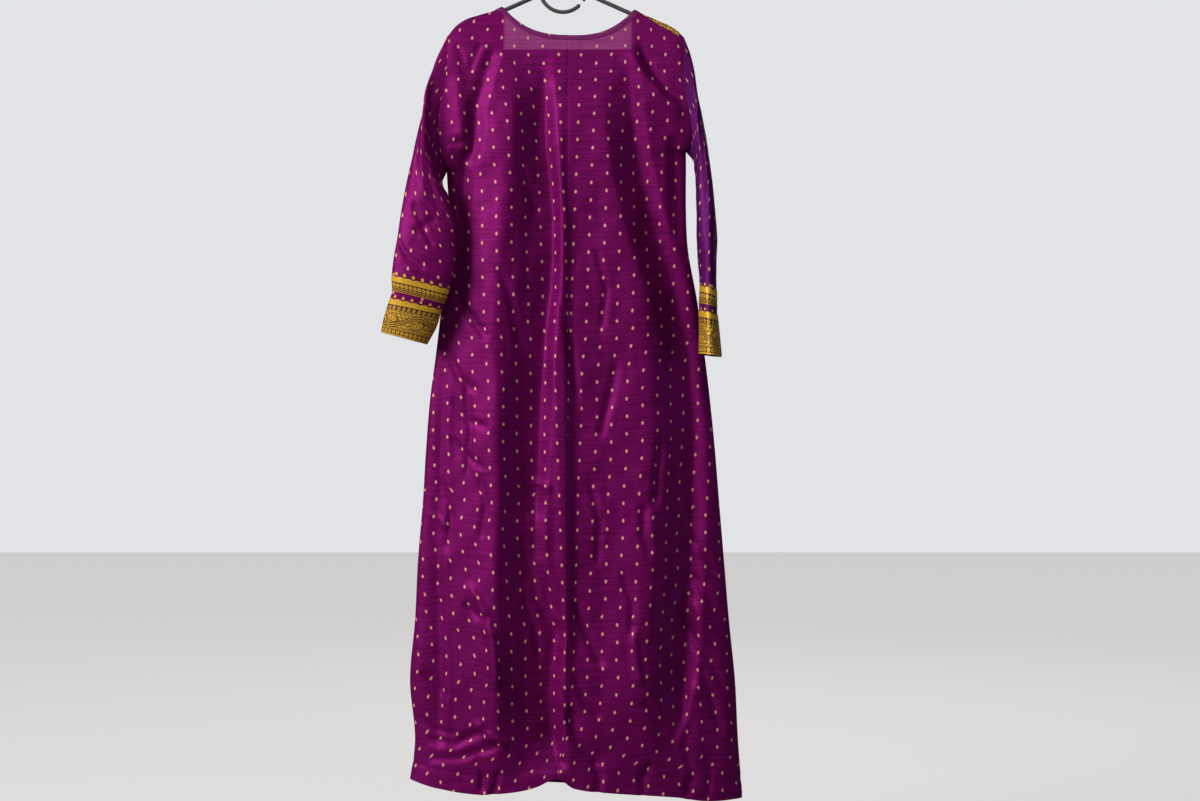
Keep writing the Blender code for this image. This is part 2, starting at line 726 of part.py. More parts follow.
def make_sleeves(grids, offset_at):
    for side, finish in (("left", SILK), ("right", SILK_SHADE)):
        rings = grids["sleeve_" + side]
        cloth_wall("sleeve_" + side, rings, offset_at, finish, closed=True)
        for kind, (start, stop) in (("narrow", NARROW_BORDER_RINGS), ("wide", WIDE_BORDER_RINGS)):
            band = rings[len(rings) - start:len(rings) - stop + 1]
            make_border("cuff_" + kind + "_" + side, band, offset_at, closed=True)


def make_border(name, rows, offset_at, closed=False):
    """Woven border lying on the cloth whose points it is given."""
    cloth_wall(name, rows, offset_at, GOLD, wall=BORDER_WALL, closed=closed,
               rise=BORDER_CLEARANCE + BORDER_WALL, ends=(not closed, False), sides=(False, False))


def make_front_borders(grids, offset_at):
    starts = {"left": NECK_COLUMNS, "right": SIDE_COLUMNS}
    for side, start in starts.items():
        band = [row[start:start + BORDER_COLUMNS + 1] for row in grids["front_" + side]]
        make_border("front_border_" + side, band, offset_at)


def neck_point(column, inset):
    """Point between the neckline and the panel's top edge, on a column's line."""
    x, way = neck_curve(column.face, column.side, neck_share(column.i), inset)
    return column.face.upper_point(x, way, column.u, column.side)


def neck_binding_rows():
    """Closed strip round the neckline, from the panels' top edges to the opening."""
    columns = []
    for face, side, indices in (
        (BACK, LEFT, range(NECK_COLUMNS)),
        (FRONT, LEFT, range(NECK_COLUMNS, 0, -1)),
        (FRONT, RIGHT, range(NECK_COLUMNS)),
        (BACK, RIGHT, range(NECK_COLUMNS, 0, -1)),
    ):
        columns += [Column(face, side, i) for i in indices]
    insets = (BINDING_WIDTH, BINDING_WIDTH / 2, 0.0)
    return [[neck_point(column, inset) for column in columns] for inset in insets]


def make_back_neck_facing():
    """Straight-edged facing inside the back, under the neckline."""
    columns = [Column(BACK, LEFT, i) for i in range(FACING_COLUMNS, 0, -1)]
    columns += [Column(BACK, RIGHT, i) for i in range(FACING_COLUMNS + 1)]
    rows = []
    for k in range(FACING_ROWS + 1):
        row = []
        for column in columns:
            bottom = way_for_drop(crest_z(column.top_x) - FACING_BOTTOM_Z)
            row.append(column.upper_point(blend(column.top_way, bottom, k / FACING_ROWS)))
        rows.append(row)
    cloth_wall("back_neck_facing", rows, grid_offsets([(rows, False)]), SILK, wall=FACING_WALL,
               rise=-WALL - FACING_CLEARANCE)


def tube(name, path, radius, start_axis=None, end_axis=None, round_end=False):
    """Round bar along a path in the plane y = 0, cut square or to a given axis."""
    points = [Vector((x, 0, z)) for x, z in path]
    sideways = Vector((0, 1, 0))
    rings = []
    for i, point in enumerate(points):
        before = points[max(i - 1, 0)]
        after = points[min(i + 1, len(points) - 1)]
        axis = (after - before).normalized()
        if i == 0 and start_axis:
            axis = Vector(start_axis)
        if i == len(points) - 1 and end_axis:
            axis = Vector(end_axis)
        rings.append((point, axis, radius))
    if round_end:
        point, axis, radius = rings.pop()
        for turn in (0, 30, 60):
            reach = radius * math.sin(math.radians(turn))
            rings.append((point + axis * (reach - radius), axis,
                          radius * math.cos(math.radians(turn))))
    vertices = []
    for point, axis, size in rings:
        across = axis.cross(sideways)
        for k in range(TUBE_SIDES):
            turn = 2 * math.pi * k / TUBE_SIDES
            vertices.append(point + (across * math.cos(turn) + sideways * math.sin(turn)) * size)
    faces = []
    for i in range(len(rings) - 1):
        for k in range(TUBE_SIDES):
            after = (k + 1) % TUBE_SIDES
            a = i * TUBE_SIDES
            faces.append([a + k, a + TUBE_SIDES + k, a + TUBE_SIDES + after, a + after])
    faces.append(list(range(TUBE_SIDES)))
    faces.append([len(vertices) - 1 - k for k in range(TUBE_SIDES)])
    return new_object(name, vertices, faces, PLASTIC)


def arc(centre, radius, start, stop, steps):
    """Points of an arc in the plane y = 0, from one angle to another in degrees."""
    angles = [math.radians(blend(start, stop, i / steps)) for i in range(steps + 1)]
    return [(centre[0] + radius * math.cos(a), centre[1] + radius * math.sin(a)) for a in angles]


def arm_z(x):
    return HANGER_APEX_Z - HANGER_SLOPE * abs(x)


def make_hanger():
    """Tube hanger: two arms bent round into a bar, a hook, and an accessory loop."""
    slope = math.atan(HANGER_SLOPE)
    bend = BAR_DROP / (1 + math.cos(slope))
    bend_x = HANGER_HALF_WIDTH - TUBE_RADIUS - bend * (1 - math.sin(slope))
    bend_centre = (bend_x - bend * math.sin(slope), arm_z(bend_x) - bend * math.cos(slope))
    start = HOOK_RADIUS + HANGER_JOINT_GAP
    right = [(start, arm_z(start)), (bend_x / 2, arm_z(bend_x / 2))]
    right += arc(bend_centre, bend, 90 - math.degrees(slope), -90, 6)
    left = [(-x, z) for x, z in right]
    tube("hanger_arm_right", right, TUBE_RADIUS, start_axis=(1, 0, 0), end_axis=(-1, 0, 0))
    tube("hanger_arm_left", left, TUBE_RADIUS, start_axis=(-1, 0, 0), end_axis=(1, 0, 0))
    bar_x = bend_centre[0] - HANGER_JOINT_GAP
    bar_z = bend_centre[1] - bend
    tube("hanger_bar", [(-bar_x, bar_z), (0, bar_z), (bar_x, bar_z)], TUBE_RADIUS)
    make_hook()
    loop = arc(LOOP_CENTRE, LOOP_BEND_RADIUS, LOOP_START_ANGLE, LOOP_END_ANGLE, 12)
    across_arm = (math.sin(slope), 0, -math.cos(slope))
    tube("hanger_loop", loop, LOOP_RADIUS, start_axis=across_arm, round_end=True)
    lug_top = arm_z(LUG_X) - (TUBE_RADIUS + HANGER_JOINT_GAP) / math.cos(slope)
    lug = [(LUG_X, lug_top), (LUG_X, blend(lug_top, LUG_BOTTOM_Z, 0.5)), (LUG_X, LUG_BOTTOM_Z)]
    tube("hanger_lug", lug, LUG_RADIUS, start_axis=(-math.sin(slope), 0, -math.cos(slope)),
         round_end=True)


def make_hook():
    """Stem from the arms' joint, and the hook over the origin."""
    top_z = HOOK_RADIUS
    centre = (0, top_z - HOOK_BEND_RADIUS)
    stem_bottom = HANGER_APEX_Z - TUBE_RADIUS
    path = [(0, stem_bottom), (0, HANGER_APEX_Z + TUBE_RADIUS), (0, -0.0660), (0.0035, -0.0570),
            (0.0100, -0.0480), (0.0160, -0.0385)]
    path += arc(centre, HOOK_BEND_RADIUS, -32, 205, 16)
    tube("hanger_hook", path, HOOK_RADIUS, round_end=True)


def main():
    clear_scene()
    grids = robe_grids()
    tubes = ("sleeve_left", "sleeve_right", "neck_binding")
    offset_at = grid_offsets([(rows, name in tubes) for name, rows in grids.items()])
    make_panels(grids, offset_at)
    make_sleeves(grids, offset_at)
    make_front_borders(grids, offset_at)
    make_back_neck_facing()
    make_hanger()


main()
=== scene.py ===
import math
from collections import namedtuple

import bpy
import numpy as np
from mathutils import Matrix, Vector


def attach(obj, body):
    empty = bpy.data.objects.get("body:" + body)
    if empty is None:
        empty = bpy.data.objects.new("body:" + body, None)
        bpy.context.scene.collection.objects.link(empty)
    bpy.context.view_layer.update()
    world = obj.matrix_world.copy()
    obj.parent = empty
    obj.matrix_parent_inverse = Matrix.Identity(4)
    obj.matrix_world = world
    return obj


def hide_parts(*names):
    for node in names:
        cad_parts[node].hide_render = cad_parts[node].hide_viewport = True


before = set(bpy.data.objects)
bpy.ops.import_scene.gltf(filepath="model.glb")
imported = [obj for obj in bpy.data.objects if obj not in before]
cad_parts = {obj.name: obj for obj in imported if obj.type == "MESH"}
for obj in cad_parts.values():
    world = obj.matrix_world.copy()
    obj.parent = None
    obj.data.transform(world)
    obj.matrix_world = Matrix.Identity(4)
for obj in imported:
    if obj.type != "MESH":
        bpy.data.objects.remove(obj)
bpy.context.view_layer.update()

# Sizes of the robe in metres, the same as its solids'
CREST_RADIUS = 0.0073
SWELL_START = 0.0105
NECK_CENTRE_X = 0.0081
NECK_HALF_WIDTH = 0.1197
NECK_CURVE = 2.8
NECK_DROP = {"back": 0.0500, "front": 0.1150}
BINDING_WIDTH = 0.0090
BINDING_SLANT = 1.3
BORDER_WIDTH = 0.0660
FACING_BOTTOM_Z = -0.2031
FACING_COLUMNS = 5
NECK_COLUMNS = 10
BORDER_COLUMNS = 3
SIDE_COLUMNS = 3
COLUMNS = NECK_COLUMNS + BORDER_COLUMNS + SIDE_COLUMNS
NECK_COLUMN_SPREAD = 1.7
COLUMN_SPREAD = 1.2
SLEEVE_BOW_CURVE = 1.4
ARMHOLE_DEPTH = 0.024
ARMHOLE_SWELL = 0.55

# Thickness of the silk, the folded hem, and how far each layer lies from the cloth's surface
CLOTH = 0.0007
HEM_TURN = 0.034
HEM_THICKNESS = 0.0021
HEM_LINE_DEPTH = 0.0013
HEM_LINE_WIDTH = 0.005
BORDER_RISE = 0.0006
BORDER_DEPTH = 0.0005
BINDING_RISE = 0.0008
BINDING_DEPTH = 0.0013
BINDING_ROUNDING = 6
BINDING_EDGE = 0.05
FACING_DEPTH = 0.0016


def tenths(*rows):
    """Table written in tenths of a millimetre."""
    return np.array(rows) / 10000


# Half sections of the body: z, x of the left and the right side seam, back and front depth
SECTIONS = tenths(
    (-4209, -2110, 2196, 320, 280),
    (-4893, -2080, 2196, 340, 300),
    (-5613, -2120, 2232, 360, 320),
    (-6513, -2196, 2394, 380, 340),
    (-7413, -2295, 2520, 400, 360),
    (-8313, -2412, 2628, 420, 380),
    (-9213, -2484, 2718, 440, 400),
    (-10113, -2538, 2790, 460, 420),
    (-11193, -2628, 2880, 480, 440),
    (-12273, -2682, 2970, 500, 470),
    (-13353, -2772, 3078, 520, 500),
    (-14433, -2682, 3132, 540, 520),
    (-15333, -2808, 3204, 550, 540),
)
SECTION_COLUMN = {"left": 1, "right": 2, "back": 3, "front": 4}
# Centre back seam: z, x
CENTRE_BACK = tenths(
    (-1700, 72),
    (-9000, 72),
    (-13800, 54),
    (-15200, -140),
)
# Hem: x, z of the back, z of the front
HEM = tenths(
    (-2820, -15117, -15117),
    (-2286, -15243, -15180),
    (-1512, -15333, -15230),
    (-846, -15279, -15260),
    (-486, -15189, -15270),
    (-140, -15040, -15280),
    (200, -15220, -15290),
    (1008, -15315, -15330),
    (1962, -15387, -15370),
    (2574, -15477, -15420),
    (3210, -15459, -15459),
)
HEM_COLUMN = {"back": 1, "front": 2}
# Shoulder crests: x, z, how far the seam has rolled on to the back
CREST = {
    "left": tenths(
        (-1116, -1238, 20),
        (-1296, -1318, -20),
        (-1440, -1356, -30),
        (-1584, -1400, -30),
        (-1728, -1444, -30),
        (-1872, -1525, -30),
        (-1998, -1630, -30),
        (-2106, -1768, -30),
    ),
    "right": tenths(
        (1278, -1290, 15),
        (1386, -1354, 35),
        (1584, -1439, 95),
        (1728, -1505, 120),
        (1872, -1565, 140),
        (2000, -1637, 135),
        (2106, -1718, 120),
        (2160, -1780, 110),
    ),
}
# Armhole seams: z, x
ARMHOLE = {
    "left": tenths(
        (-1768, -2106),
        (-2193, -2092),
        (-2589, -2124),
        (-3129, -2225),
        (-3651, -2250),
        (-3993, -2200),
        (-4209, -2110),
    ),
    "right": tenths(
        (-1780, 2160),
        (-2193, 2150),
        (-2625, 2155),
        (-3003, 2210),
        (-3291, 2262),
        (-3543, 2288),
        (-3720, 2275),
        (-3849, 2214),
    ),
}
# Sleeve rings: outer x y z, inner x y z, bow away from the body, half depth
SLEEVE_RINGS = {
    "left": tenths(
        (-2270, -20, -2160, -2175, -110, -4400, 180, 270),
        (-2410, -80, -2670, -2120, -280, -4550, 170, 260),
        (-2600, -170, -3450, -2020, -400, -4750, 130, 230),
        (-2780, -300, -4300, -1940, -460, -5150, 60, 190),
        (-2920, -420, -5100, -1910, -510, -5640, 20, 180),
        (-2995, -500, -5640, -1945, -540, -6010, 0, 180),
        (-3045, -530, -6090, -2025, -540, -6345, 0, 180),
        (-3040, -500, -6370, -2120, -510, -6600, 0, 180),
        (-3080, -470, -6490, -2170, -480, -6700, 0, 190),
        (-3200, -390, -6830, -2270, -400, -7010, 0, 220),
        (-3260, -300, -7100, -2440, -320, -7320, 0, 240),
    ),
    "right": tenths(
        (2290, 0, -2140, 2310, -10, -3990, 40, 270),
        (2385, -20, -2735, 2345, -30, -4140, 40, 300),
        (2485, -50, -3280, 2360, -70, -4340, 50, 340),
        (2585, -100, -3820, 2365, -130, -4620, 50, 390),
        (2660, -180, -4390, 2370, -210, -4970, 40, 430),
        (2695, -280, -5040, 2380, -310, -5430, 30, 480),
        (2715, -400, -5690, 2395, -410, -5900, 0, 500),
        (2730, -530, -6390, 2410, -530, -6280, 0, 510),
        (2730, -600, -6700, 2400, -600, -6600, 0, 510),
        (2735, -630, -6820, 2400, -630, -6720, 0, 510),
        (2760, -710, -7180, 2405, -710, -7120, 0, 500),
        (2790, -780, -7550, 2395, -780, -7500, 0, 490),
    ),
}

# Rows and columns of the fine cloth, denser at its seams
UPPER_STEPS = 76
SKIRT_STEPS = 250
SLEEVE_STEP = 0.0042
UPPER_SPREAD = (1.3, 1.25)
SKIRT_SPREAD = 1.15
UPPER_SHARES = 1 - (1 - np.linspace(0, 1, UPPER_STEPS + 1) ** UPPER_SPREAD[0]) ** UPPER_SPREAD[1]
SKIRT_SHARES = np.linspace(0, 1, SKIRT_STEPS + 1) ** SKIRT_SPREAD
AT_CENTRE = (0, 0.03, 0.07, 0.12, 0.19, 0.28, 0.40)
AT_SIDE = (15.55, 15.68, 15.79, 15.87, 15.93, 15.97, 16)
BACK_COLUMNS = np.concatenate((AT_CENTRE, np.linspace(0.58, 15.4, 76), AT_SIDE))
FRONT_COLUMNS = np.concatenate((
    np.linspace(0, 10, 28), np.linspace(10.25, 13, 12), np.linspace(13.2, 15.4, 12), AT_SIDE,
))
BINDING_COLUMNS = 44
BINDING_SHARES = (1.03, 0.97, 0.84, 0.67, 0.5, 0.33, 0.16, 0.04, 0.0)
FACING_GRID = (24, 22)
EDGE_HOLD = 40

# Folds, listed in mm: height at the start and the end, width of the left and the right flank,
# then the path of x and z
Fold = namedtuple("Fold", "height end_height left right path")
FOLD_ROUNDING = 0.02
FOLD_SHOULDER = 1.2
FOLD_FADE = 0.16
# Drops below the crest at which folds and ripples set in and over which they grow, and the
# power with which the side seams hold them flat
FOLD_START = 0.012
FOLD_GROWTH = 0.05
RIPPLE_START = 0.008
RIPPLE_GROWTH = 0.03
SIDE_HOLD = 8
# Ripples: wavelength and height
RIPPLES = ((0.110, 0.00050), (0.047, 0.00018), (0.021, 0.00006))
RIPPLE_SEED = {"back": 5, "front": 11, "sleeve_left": 17, "sleeve_right": 23}
SEAM_GROOVE = 0.0006
SEAM_GROOVE_WIDTH = 0.0022
# Rows over which the body passes softly from its upper part to its skirt
CHEST_SMOOTHINGS = 70
CHEST_SPAN = 0.13
CHEST_BLEND = 1.6
CHEST_HOLD = 20


def read_folds(*rows):
    """Folds out of rows of mm: the four sizes, then x and z of each point of the path."""
    sizes = [np.array(row) / 1000 for row in rows]
    return [Fold(*row[:4], row[4:].reshape(-1, 2)) for row in sizes]


BACK_FOLDS = read_folds(
    (-6, -13, 40, 16, -214, -705, -221, -903, -227, -1047, -225, -1191, -221, -1335, -230, -1488),
    (14, 20, 79, 50, -88, -183, -92, -273, -97, -399, -106, -507, -122, -669, -119, -867, -117, -1011, -122,
     -1191, -119, -1371, -115, -1524),
    (3, 6, 47, 23, -121, -705, -117, -867, -117, -1011, -122, -1191, -119, -1371, -115, -1533),
    (-17, -20, 59, 23, -41, -190, -36, -291, -32, -381, -20, -498, -23, -606, -34, -714, -41, -813, -45, -921,
     -52, -1029, -54, -1137),
    (-1, -12, 90, 14, -14, -1353, -7, -1425, -2, -1497),
    (-16, -22, 72, 22, -56, -1047, -54, -1119, -31, -1191, -14, -1245, -23, -1308, -27, -1380, -14, -1497),
    (10, 17, 83, 49, 61, -187, 70, -327, 83, -435, 112, -543, 139, -651, 155, -795, 158, -939, 155, -1119, 148,
     -1263, 151, -1389, 160, -1533),
    (-16, -24, 49, 27, 108, -194, 119, -309, 131, -399, 157, -507, 196, -624, 221, -732, 232, -885, 230, -1047,
     221, -1227, 214, -1371, 209, -1515),
    (5, 10, 25, 22, 245, -705, 266, -885, 279, -1047, 288, -1227, 295, -1407, 299, -1542),
    (-4, -9, 11, 115, 11, -381, 14, -579, 18, -831, 20, -1119, 22, -1371),
    (3, 3, 16, 7, -4, -219, -4, -498, 2, -831, 5, -1191, 5, -1497),
    (3, 5, 13, 29, -20, -219, -18, -381, -5, -507, -7, -606, -20, -732, -13, -831, -7, -1047, -7, -1191),
    (8, 10, 29, 20, 113, -190, 140, -248, 173, -291, 223, -325),
    (-4, -6, 13, 14, 131, -187, 158, -241, 187, -277, 227, -306),
    (5, 13, 32, 20, -191, -237, -185, -313, -182, -376),
    (-7, -10, 18, 22, -121, -187, -142, -248, -158, -306, -162, -374, -176, -417),
    (-8, -9, 22, 23, -176, -381, -180, -439, -191, -518),
    (5, 5, 13, 11, -211, -381, -187, -381, -164, -372),
    (-4, -5, 11, 11, -193, -190, -184, -219, -175, -252),
    (-4, -4, 9, 11, -148, -190, -162, -219, -171, -248),
    (-7, -8, 20, 22, 198, -345, 203, -453, 209, -561),
    (-5, -6, 14, 13, -212, -615, -173, -673, -133, -727),
    (-4, -4, 11, 13, -122, -583, -94, -651, -79, -745),
    (-3, -4, 13, 13, -79, -381, -65, -453, -43, -511),
    (-4, -5, 13, 13, 97, -752, 83, -824, 61, -910),
    (-4, -5, 11, 11, -7, -651, 14, -741, 25, -849),
    (-4, -4, 11, 11, -176, -795, -166, -885, -173, -975),
    (-5, -6, 13, 11, -223, -964, -202, -1038, -212, -1112),
    (4, 5, 9, 9, -245, -1033, -223, -1044, -207, -1062),
    (7, 9, 18, 13, -176, -1148, -140, -1206, -122, -1267, -117, -1357),
    (-5, -7, 11, 14, -180, -1191, -155, -1213, -130, -1224),
    (-5, -5, 13, 14, -257, -1314, -230, -1342, -205, -1364),
    (5, 6, 11, 14, -68, -1069, -47, -1130, -36, -1188, -4, -1242),
    (-5, -6, 11, 14, -76, -1173, -54, -1231, -43, -1299),
    (4, 5, 9, 11, -58, -975, -32, -986, -20, -990),
    (-6, -7, 11, 16, 11, -1186, 31, -1229, 49, -1267, 72, -1312),
    (-5, -7, 11, 14, 16, -1321, 40, -1369, 70, -1400),
    (-8, -9, 14, 20, 11, -1371, 18, -1425, 41, -1461, 72, -1486),
    (-7, -8, 11, 13, 173, -896, 166, -964, 162, -1026),
    (-6, -6, 13, 13, 144, -1011, 142, -1072, 158, -1112),
    (6, 7, 16, 9, 124, -1234, 131, -1299, 139, -1342),
    (-5, -6, 11, 13, 137, -1366, 157, -1384, 182, -1425),
    (5, 6, 11, 13, 198, -1011, 223, -1058, 248, -1119),
    (-6, -6, 11, 13, 227, -1072, 252, -1112, 279, -1148),
    (-6, -6, 11, 13, 227, -1137, 256, -1184, 288, -1220),
    (5, 6, 11, 13, 223, -1184, 252, -1227, 295, -1270),
    (-6, -8, 13, 16, 209, -1213, 238, -1267, 274, -1317, 292, -1360),
    (-5, -7, 11, 14, 241, -1299, 261, -1360, 286, -1432),
    (6, 6, 13, 14, 234, -1328, 223, -1396, 198, -1458),
    (-4, -5, 11, 11, 43, -957, 65, -1047, 58, -1137),
    (-4, -5, 9, 11, 101, -1130, 122, -1191, 119, -1263),
    (-4, -5, 11, 13, -216, -734, -187, -792, -151, -820),
    (-4, -4, 11, 11, -205, -828, -173, -867, -130, -882),
    (-4, -5, 11, 11, -209, -896, -180, -925, -137, -957),
    (-3, -4, 9, 11, 54, -550, 76, -633, 65, -716),
    (-4, -4, 11, 11, -151, -957, -137, -1018, -148, -1083),
    (-5, -6, 11, 11, -270, -1393, -230, -1422, -184, -1429),
    (-6, -7, 11, 13, -252, -1436, -194, -1445, -126, -1411),
    (-6, -6, 9, 13, -256, -1474, -184, -1470, -101, -1440),
    (5, 5, 11, 11, -162, -1400, -133, -1425, -94, -1447),
    (-5, -6, 9, 11, -158, -1465, -144, -1494, -148, -1533),
    (-5, -5, 9, 9, -115, -1486, -119, -1512, -130, -1544),
    (-5, -6, 11, 11, 50, -1468, 65, -1501, 58, -1544),
    (-5, -5, 11, 9, 158, -1472, 140, -1504, 144, -1544),
    (-5, -6, 11, 13, 216, -1458, 230, -1497, 216, -1544),
    (-4, -5, 9, 9, 252, -1465, 263, -1497, 256, -1544),
)
FRONT_FOLDS = read_folds(
    (5, 12, 30, 30, -190, -219, -206, -579, -226, -1047, -236, -1515),
    (-8, -19, 20, 52, -150, -219, -160, -579, -172, -1047, -180, -1530),
    (7, 14, 44, 34, -62, -260, -80, -579, -100, -1047, -106, -1515),
    (-9, -21, 54, 22, 8, -262, -4, -579, -14, -1047, -8, -1530),
    (7, 14, 30, 48, 66, -260, 80, -579, 98, -1047, 110, -1515),
    (-9, -20, 58, 18, 148, -219, 170, -579, 196, -1047, 208, -1530),
    (6, 12, 22, 26, 192, -219, 216, -579, 252, -1047, 274, -1515),
    (-5, -6, 14, 12, -206, -560, -160, -640, -128, -716),
    (-6, -7, 14, 16, 50, -1120, 20, -1196, 30, -1290),
    (-5, -7, 12, 14, 168, -1180, 128, -1240, 118, -1330),
    (-6, -6, 12, 14, -50, -1340, -76, -1400, -66, -1480),
    (-5, -6, 14, 12, 206, -500, 150, -570, 118, -650),
    (-4, -6, 12, 12, 72, -700, 50, -800, 62, -900),
    (-4, -5, 12, 14, -128, -960, -110, -1040, -126, -1130),
    (-6, -6, 12, 12, -240, -1420, -180, -1450, -120, -1434),
    (-5, -5, 10, 12, 270, -1440, 210, -1466, 150, -1448),
    (10, 12, 22, 24, -196, -290, -194, -330, -190, -370),
    (-8, -8, 16, 16, -180, -384, -186, -420, -180, -470),
    (9, 11, 22, 22, 208, -270, 204, -310, 200, -350),
    (-8, -7, 16, 16, 190, -366, 196, -400, 190, -450),
)
FOLDS = {"back": BACK_FOLDS, "front": FRONT_FOLDS}
# Folds of the sleeves: way round from the top over the back, and height above the cuff
SLEEVE_FOLDS = {
    "left": read_folds(
        (-4, -4, 11, 11, 30, 236, 56, 206, 84, 172),
        (-4, -4, 10, 10, 92, 240, 66, 212, 38, 184),
        (6, 4, 30, 34, 60, 430, 64, 330, 56, 230),
        (-4, -4, 10, 10, 4, 166, 36, 142, 72, 130),
        (-6, -5, 18, 16, 240, 360, 200, 270, 166, 170),
        (5, 4, 20, 20, 300, 400, 256, 290, 200, 180),
    ),
    "right": read_folds(
        (5, 5, 18, 22, 60, 470, 70, 330, 60, 180),
        (-4, -4, 13, 13, 90, 440, 98, 300, 86, 170),
        (-5, -5, 18, 16, 240, 400, 214, 300, 176, 180),
        (5, 5, 22, 22, 290, 420, 256, 300, 216, 160),
        (-4, -4, 14, 12, 320, 350, 276, 250, 236, 150),
    ),
}
# Rings of the sleeve, counted back from the cuff, between which each woven border lies
CUFF_BORDERS = {"narrow": (5, 4), "wide": (3, 1)}
# Height above the cuff at which the sleeve's folds have died out in the stiffer borders
STIFF_CUFF = 0.125
STIFF_SHARE = 0.25
# Lengths over which the folds set in under the armhole seam and beside the sleeve's top line
ARMHOLE_HOLD = 0.05
TOP_LINE_HOLD = 0.02

# Where the facing shows through the back, and the depth of each woven border
FACING_MIDDLE = 0.0071
FACING_HALF_WIDTH = 0.1142
BORDER_DEPTHS = {"narrow": 0.028, "wide": 0.068}
FLOOR_Z = -1.72
FLOOR_HALF = 9.0

# Lights: place, aim, width and height, power, colour
LIGHTS = {
    "key_light": ((-3.7, -2.35, 1.3), (0.0, 0.0, -0.80), (2.0, 2.2), 168, (1.0, 0.98, 0.98)),
    "fill_light": ((0.5, -2.6, 1.3), (0.05, 0.0, -0.25), (1.4, 1.4), 13.5, (1.0, 0.98, 0.98)),
    "side_light": ((3.6, -0.8, -0.4), (0.0, 0.0, -0.70), (1.4, 2.0), 8, (0.62, 0.66, 1.0)),
    "rim_light": ((0.8, 3.0, 1.2), (0.0, 0.0, -0.8), (2.2, 1.6), 45, (1.0, 0.98, 0.96)),
}
CAMERA_PLACE = (0.0648, -4.0, -0.832)
SENSOR_WIDTH = 36
LENS = 66.67

# Sign of each side and face, and the x of each end of the neckline
SIGN = {"left": -1, "right": 1, "back": -1, "front": 1}
NECK_X = {side: NECK_CENTRE_X + SIGN[side] * NECK_HALF_WIDTH for side in CREST}


def curve(places, values, at):
    """Values on a smooth curve through a table, flat beyond its ends."""
    places = np.asarray(places, float)
    values = np.asarray(values, float)
    at = np.asarray(at, float)
    if places[0] > places[-1]:
        places = -places
        at = -at
    at = np.clip(at, places[0], places[-1])

    def spread(numbers):
        return numbers.reshape(numbers.shape + (1,) * (values.ndim - 1))

    gaps = np.diff(places)
    slopes = np.empty_like(values)
    slopes[0] = (values[1] - values[0]) / gaps[0]
    slopes[-1] = (values[-1] - values[-2]) / gaps[-1]
    slopes[1:-1] = (values[2:] - values[:-2]) / spread(gaps[1:] + gaps[:-1])
    i = np.clip(np.searchsorted(places, at, side="right") - 1, 0, len(places) - 2)
    span = spread(places[i + 1] - places[i])
    t = spread(at - places[i]) / span
    start = values[i] * (2 * t**3 - 3 * t**2 + 1) + span * slopes[i] * (t**3 - 2 * t**2 + t)
    return start + values[i + 1] * (3 * t**2 - 2 * t**3) + span * slopes[i + 1] * (t**3 - t**2)


def table(rows, column, at):
    return curve(rows[:, 0], rows[:, column], at)


def mix(a, b, t):
    return a + (b - a) * t


def ease(t):
    t = np.clip(t, 0, 1)
    return t * t * (3 - 2 * t)


def round_out(share):
    """Half ellipse over the shares from the middle to the edge."""
    return np.sqrt(np.maximum(1 - share * share, 0))


def crest_z(x):
    low, high = (table(CREST[side], 1, NECK_X[side]) for side in ("left", "right"))
    across = (x - NECK_X["left"]) / (NECK_X["right"] - NECK_X["left"])
    shoulder = np.where(x < NECK_CENTRE_X, table(CREST["left"], 1, x), table(CREST["right"], 1, x))
    return np.where((across > 0) & (across < 1), mix(low, high, across), shoulder)


def over_crest(way):
    """Depth and drop after going some way down from the crest, over the tube."""
    turn = np.abs(way) / CREST_RADIUS
    bend = np.minimum(turn, math.pi / 2)
    drop = CREST_RADIUS * (1 - np.cos(bend) + np.maximum(turn - math.pi / 2, 0))
    return np.copysign(CREST_RADIUS * np.sin(bend), way), drop


def way_for_drop(drop):
    bend = np.arccos(np.clip(1 - drop / CREST_RADIUS, 0, 1))
    return CREST_RADIUS * bend + np.maximum(drop - CREST_RADIUS, 0)


def armhole_depth(drop, full_drop):
    q = np.clip((drop - SWELL_START) / (full_drop - SWELL_START), 0, 1)
    swell = mix(CREST_RADIUS, ARMHOLE_DEPTH, np.sin(math.pi / 2 * np.minimum(q / ARMHOLE_SWELL, 1)))
    return swell * np.sqrt(np.maximum(1 - q**6, 0))


def centre_x(face, z):
    return table(CENTRE_BACK, 1, z) if face == "back" else NECK_CENTRE_X + 0 * z


def edge_x(side, z):
    """Side seam below the underarm, armhole seam above it."""
    above = z > ARMHOLE[side][-1, 0]
    return np.where(above, table(ARMHOLE[side], 1, z), table(SECTIONS, SECTION_COLUMN[side], z))


